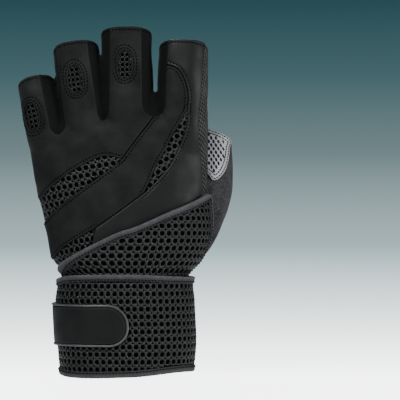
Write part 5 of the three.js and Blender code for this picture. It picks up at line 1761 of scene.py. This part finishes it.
# %% Stitch tree
stitching, inputs, outputs = new_tree(
    "stitching", "GeometryNodeTree",
    [("Line", GEOMETRY, None), ("Step", FLOAT, 0.0018), ("Stitch length", FLOAT, 0.0011),
     ("Thread", FLOAT, 0.0007), ("Unevenness", FLOAT, 0.12), ("Seed", INTEGER, 7),
     ("Material", MATERIAL, None)],
    [("Stitches", GEOMETRY)],
)
tree = stitching
line = out(tree, "GeometryNodeMeshToCurve", {"Mesh": inputs["Line"]})
stepped = out(tree, "GeometryNodeResampleCurve", {"Curve": line, "Length": inputs["Step"]}, mode="LENGTH")
shape = out(tree, "ShaderNodeCombineXYZ", {
    "X": inputs["Stitch length"], "Y": inputs["Thread"], "Z": inputs["Thread"]})
along = out(tree, "GeometryNodeInputTangent")
across = vector_maths(tree, "CROSS_PRODUCT", up_at(tree), along)
random = node(tree, "FunctionNodeRandomValue", {"Seed": inputs["Seed"]}, data_type="FLOAT")
low_end, high_end = [
    socket for socket in random.inputs if socket.name in ("Min", "Max") and socket.type == "VALUE"][:2]
tree.links.new(maths(tree, "MULTIPLY", inputs["Unevenness"], -1.0), low_end)
tree.links.new(inputs["Unevenness"], high_end)
value = [socket for socket in random.outputs if socket.type == "VALUE"][0]
along = vector_maths(tree, "ADD", along, vector_maths(tree, "SCALE", across, value))
lying = out(tree, "FunctionNodeAxesToRotation", {
    "Primary Axis": up_at(tree), "Secondary Axis": along}, primary_axis="Z", secondary_axis="X")
spread = out(tree, "GeometryNodeInstanceOnPoints", {
    "Points": stepped, "Instance": ball(tree, 6, 4, 0.5, shape), "Rotation": lying})
end_tree(tree, spread, inputs, outputs)


# %% Sew
def lines_mesh(name, lines):
    points, ups, edges = zip(*lines)
    starts = np.cumsum([0] + [len(p) for p in points[:-1]])
    edges = np.concatenate([line + start for line, start in zip(edges, starts)])
    mesh = bpy.data.meshes.new(name)
    mesh.from_pydata((np.concatenate(points) * MM).tolist(), edges.tolist(), [])
    set_values(mesh, "up", np.concatenate(ups))
    return mesh


grow("panel_stitches", lines_mesh("panel_lines", stitch_lines), stitching, {}, "thread")

# %% [markdown]
# ## Light
# A key light from the upper left, a broader and weaker one from the thumb's side that draws the highlight
# down the index panel, and one from high behind. The world is a gradient, pale at the horizon and dark above.
# The floor glows brighter towards the camera, and mostly for the camera alone, so that the black glove has a
# clean outline and little light comes up onto it.

# %% Lights
def area_light(name, place, target, size, power):
    data = bpy.data.lights.new(name, "AREA")
    data.shape, data.size, data.energy = "DISK", size, power
    light = placed(name, data)
    light.location = place
    light.rotation_euler = (Vector(target) - Vector(place)).to_track_quat("-Z", "Y").to_euler()


GLOVE_MIDDLE = (0.0, 0.0, 0.1)
area_light("key", (-0.6, -1.3, 1.5), GLOVE_MIDDLE, 0.7, 44)
area_light("side", (1.5, -0.8, 0.35), GLOVE_MIDDLE, 1.0, 26)
area_light("back", (-0.3, 1.7, 2.4), GLOVE_MIDDLE, 0.9, 40)
print("lights:", len(bpy.data.lights))

# %% World and floor
world = bpy.data.worlds.new("studio")
bpy.context.scene.world = world
world.use_nodes = True
tree = world.node_tree
direction = node(tree, "ShaderNodeTexCoord").outputs["Generated"]
rise = node(tree, "ShaderNodeSeparateXYZ", {"Vector": direction}).outputs["Z"]
share = out(tree, "ShaderNodeMapRange", {"Value": rise, "From Min": -0.025, "From Max": 0.085})
ramp = node(tree, "ShaderNodeValToRGB", {"Fac": share})
ramp.color_ramp.elements[0].color = (0.52, 0.68, 0.71, 1)
ramp.color_ramp.elements[1].color = (0.023, 0.074, 0.088, 1)
ramp.color_ramp.elements.new(0.4).color = (0.17, 0.245, 0.26, 1)
ramp.color_ramp.elements.new(0.7).color = (0.062, 0.135, 0.15, 1)
feed(tree.nodes["Background"], {"Color": ramp.outputs["Color"], "Strength": 1.0})
FLOOR_REACH = 4000  # mm
FAR_FLOOR_GLOW, NEAR_FLOOR_GLOW, BLACK = (0.064, 0.1, 0.106, 1), (0.95, 0.97, 0.98, 1), (0, 0, 0, 1)
corners = [(x * FLOOR_REACH, y * FLOOR_REACH, -1) for x, y in ((-1, -1), (1, -1), (1, 1), (-1, 1))]
floor_mesh = plain_mesh("floor", corners, [(0, 1, 2, 3)])
floor_finish = bpy.data.materials.new("glowing_floor")
floor_finish.use_nodes = True
tree = floor_finish.node_tree
floor_place = node(tree, "ShaderNodeTexCoord").outputs["Object"]
depth = node(tree, "ShaderNodeSeparateXYZ", {"Vector": floor_place}).outputs["Y"]
nearness = maths(tree, "DIVIDE", -CAMERA_AT.y, maths(tree, "ADD", depth, -CAMERA_AT.y))
# painted light: the floor's emission glows brighter towards the camera, and mostly for camera rays, in place
# of a lit pale floor
glow = mixed(tree, maths(tree, "POWER", nearness, 3.0), FAR_FLOOR_GLOW, NEAR_FLOOR_GLOW)
seen = out(tree, "ShaderNodeMapRange", {
    "Value": node(tree, "ShaderNodeLightPath").outputs["Is Camera Ray"], "To Min": 0.13, "To Max": 1.0})
feed(tree.nodes["Principled BSDF"], {
    "Base Color": (0.4, 0.41, 0.41, 1), "Roughness": 0.8, "Emission Color": mixed(tree, seen, BLACK, glow),
    "Emission Strength": 5.0})
floor_mesh.materials.append(floor_finish)
floor = placed("floor", floor_mesh)
print("stage set")

# %% Count the triangles added
print("triangles added:", sum(count for _, count in made_pieces))
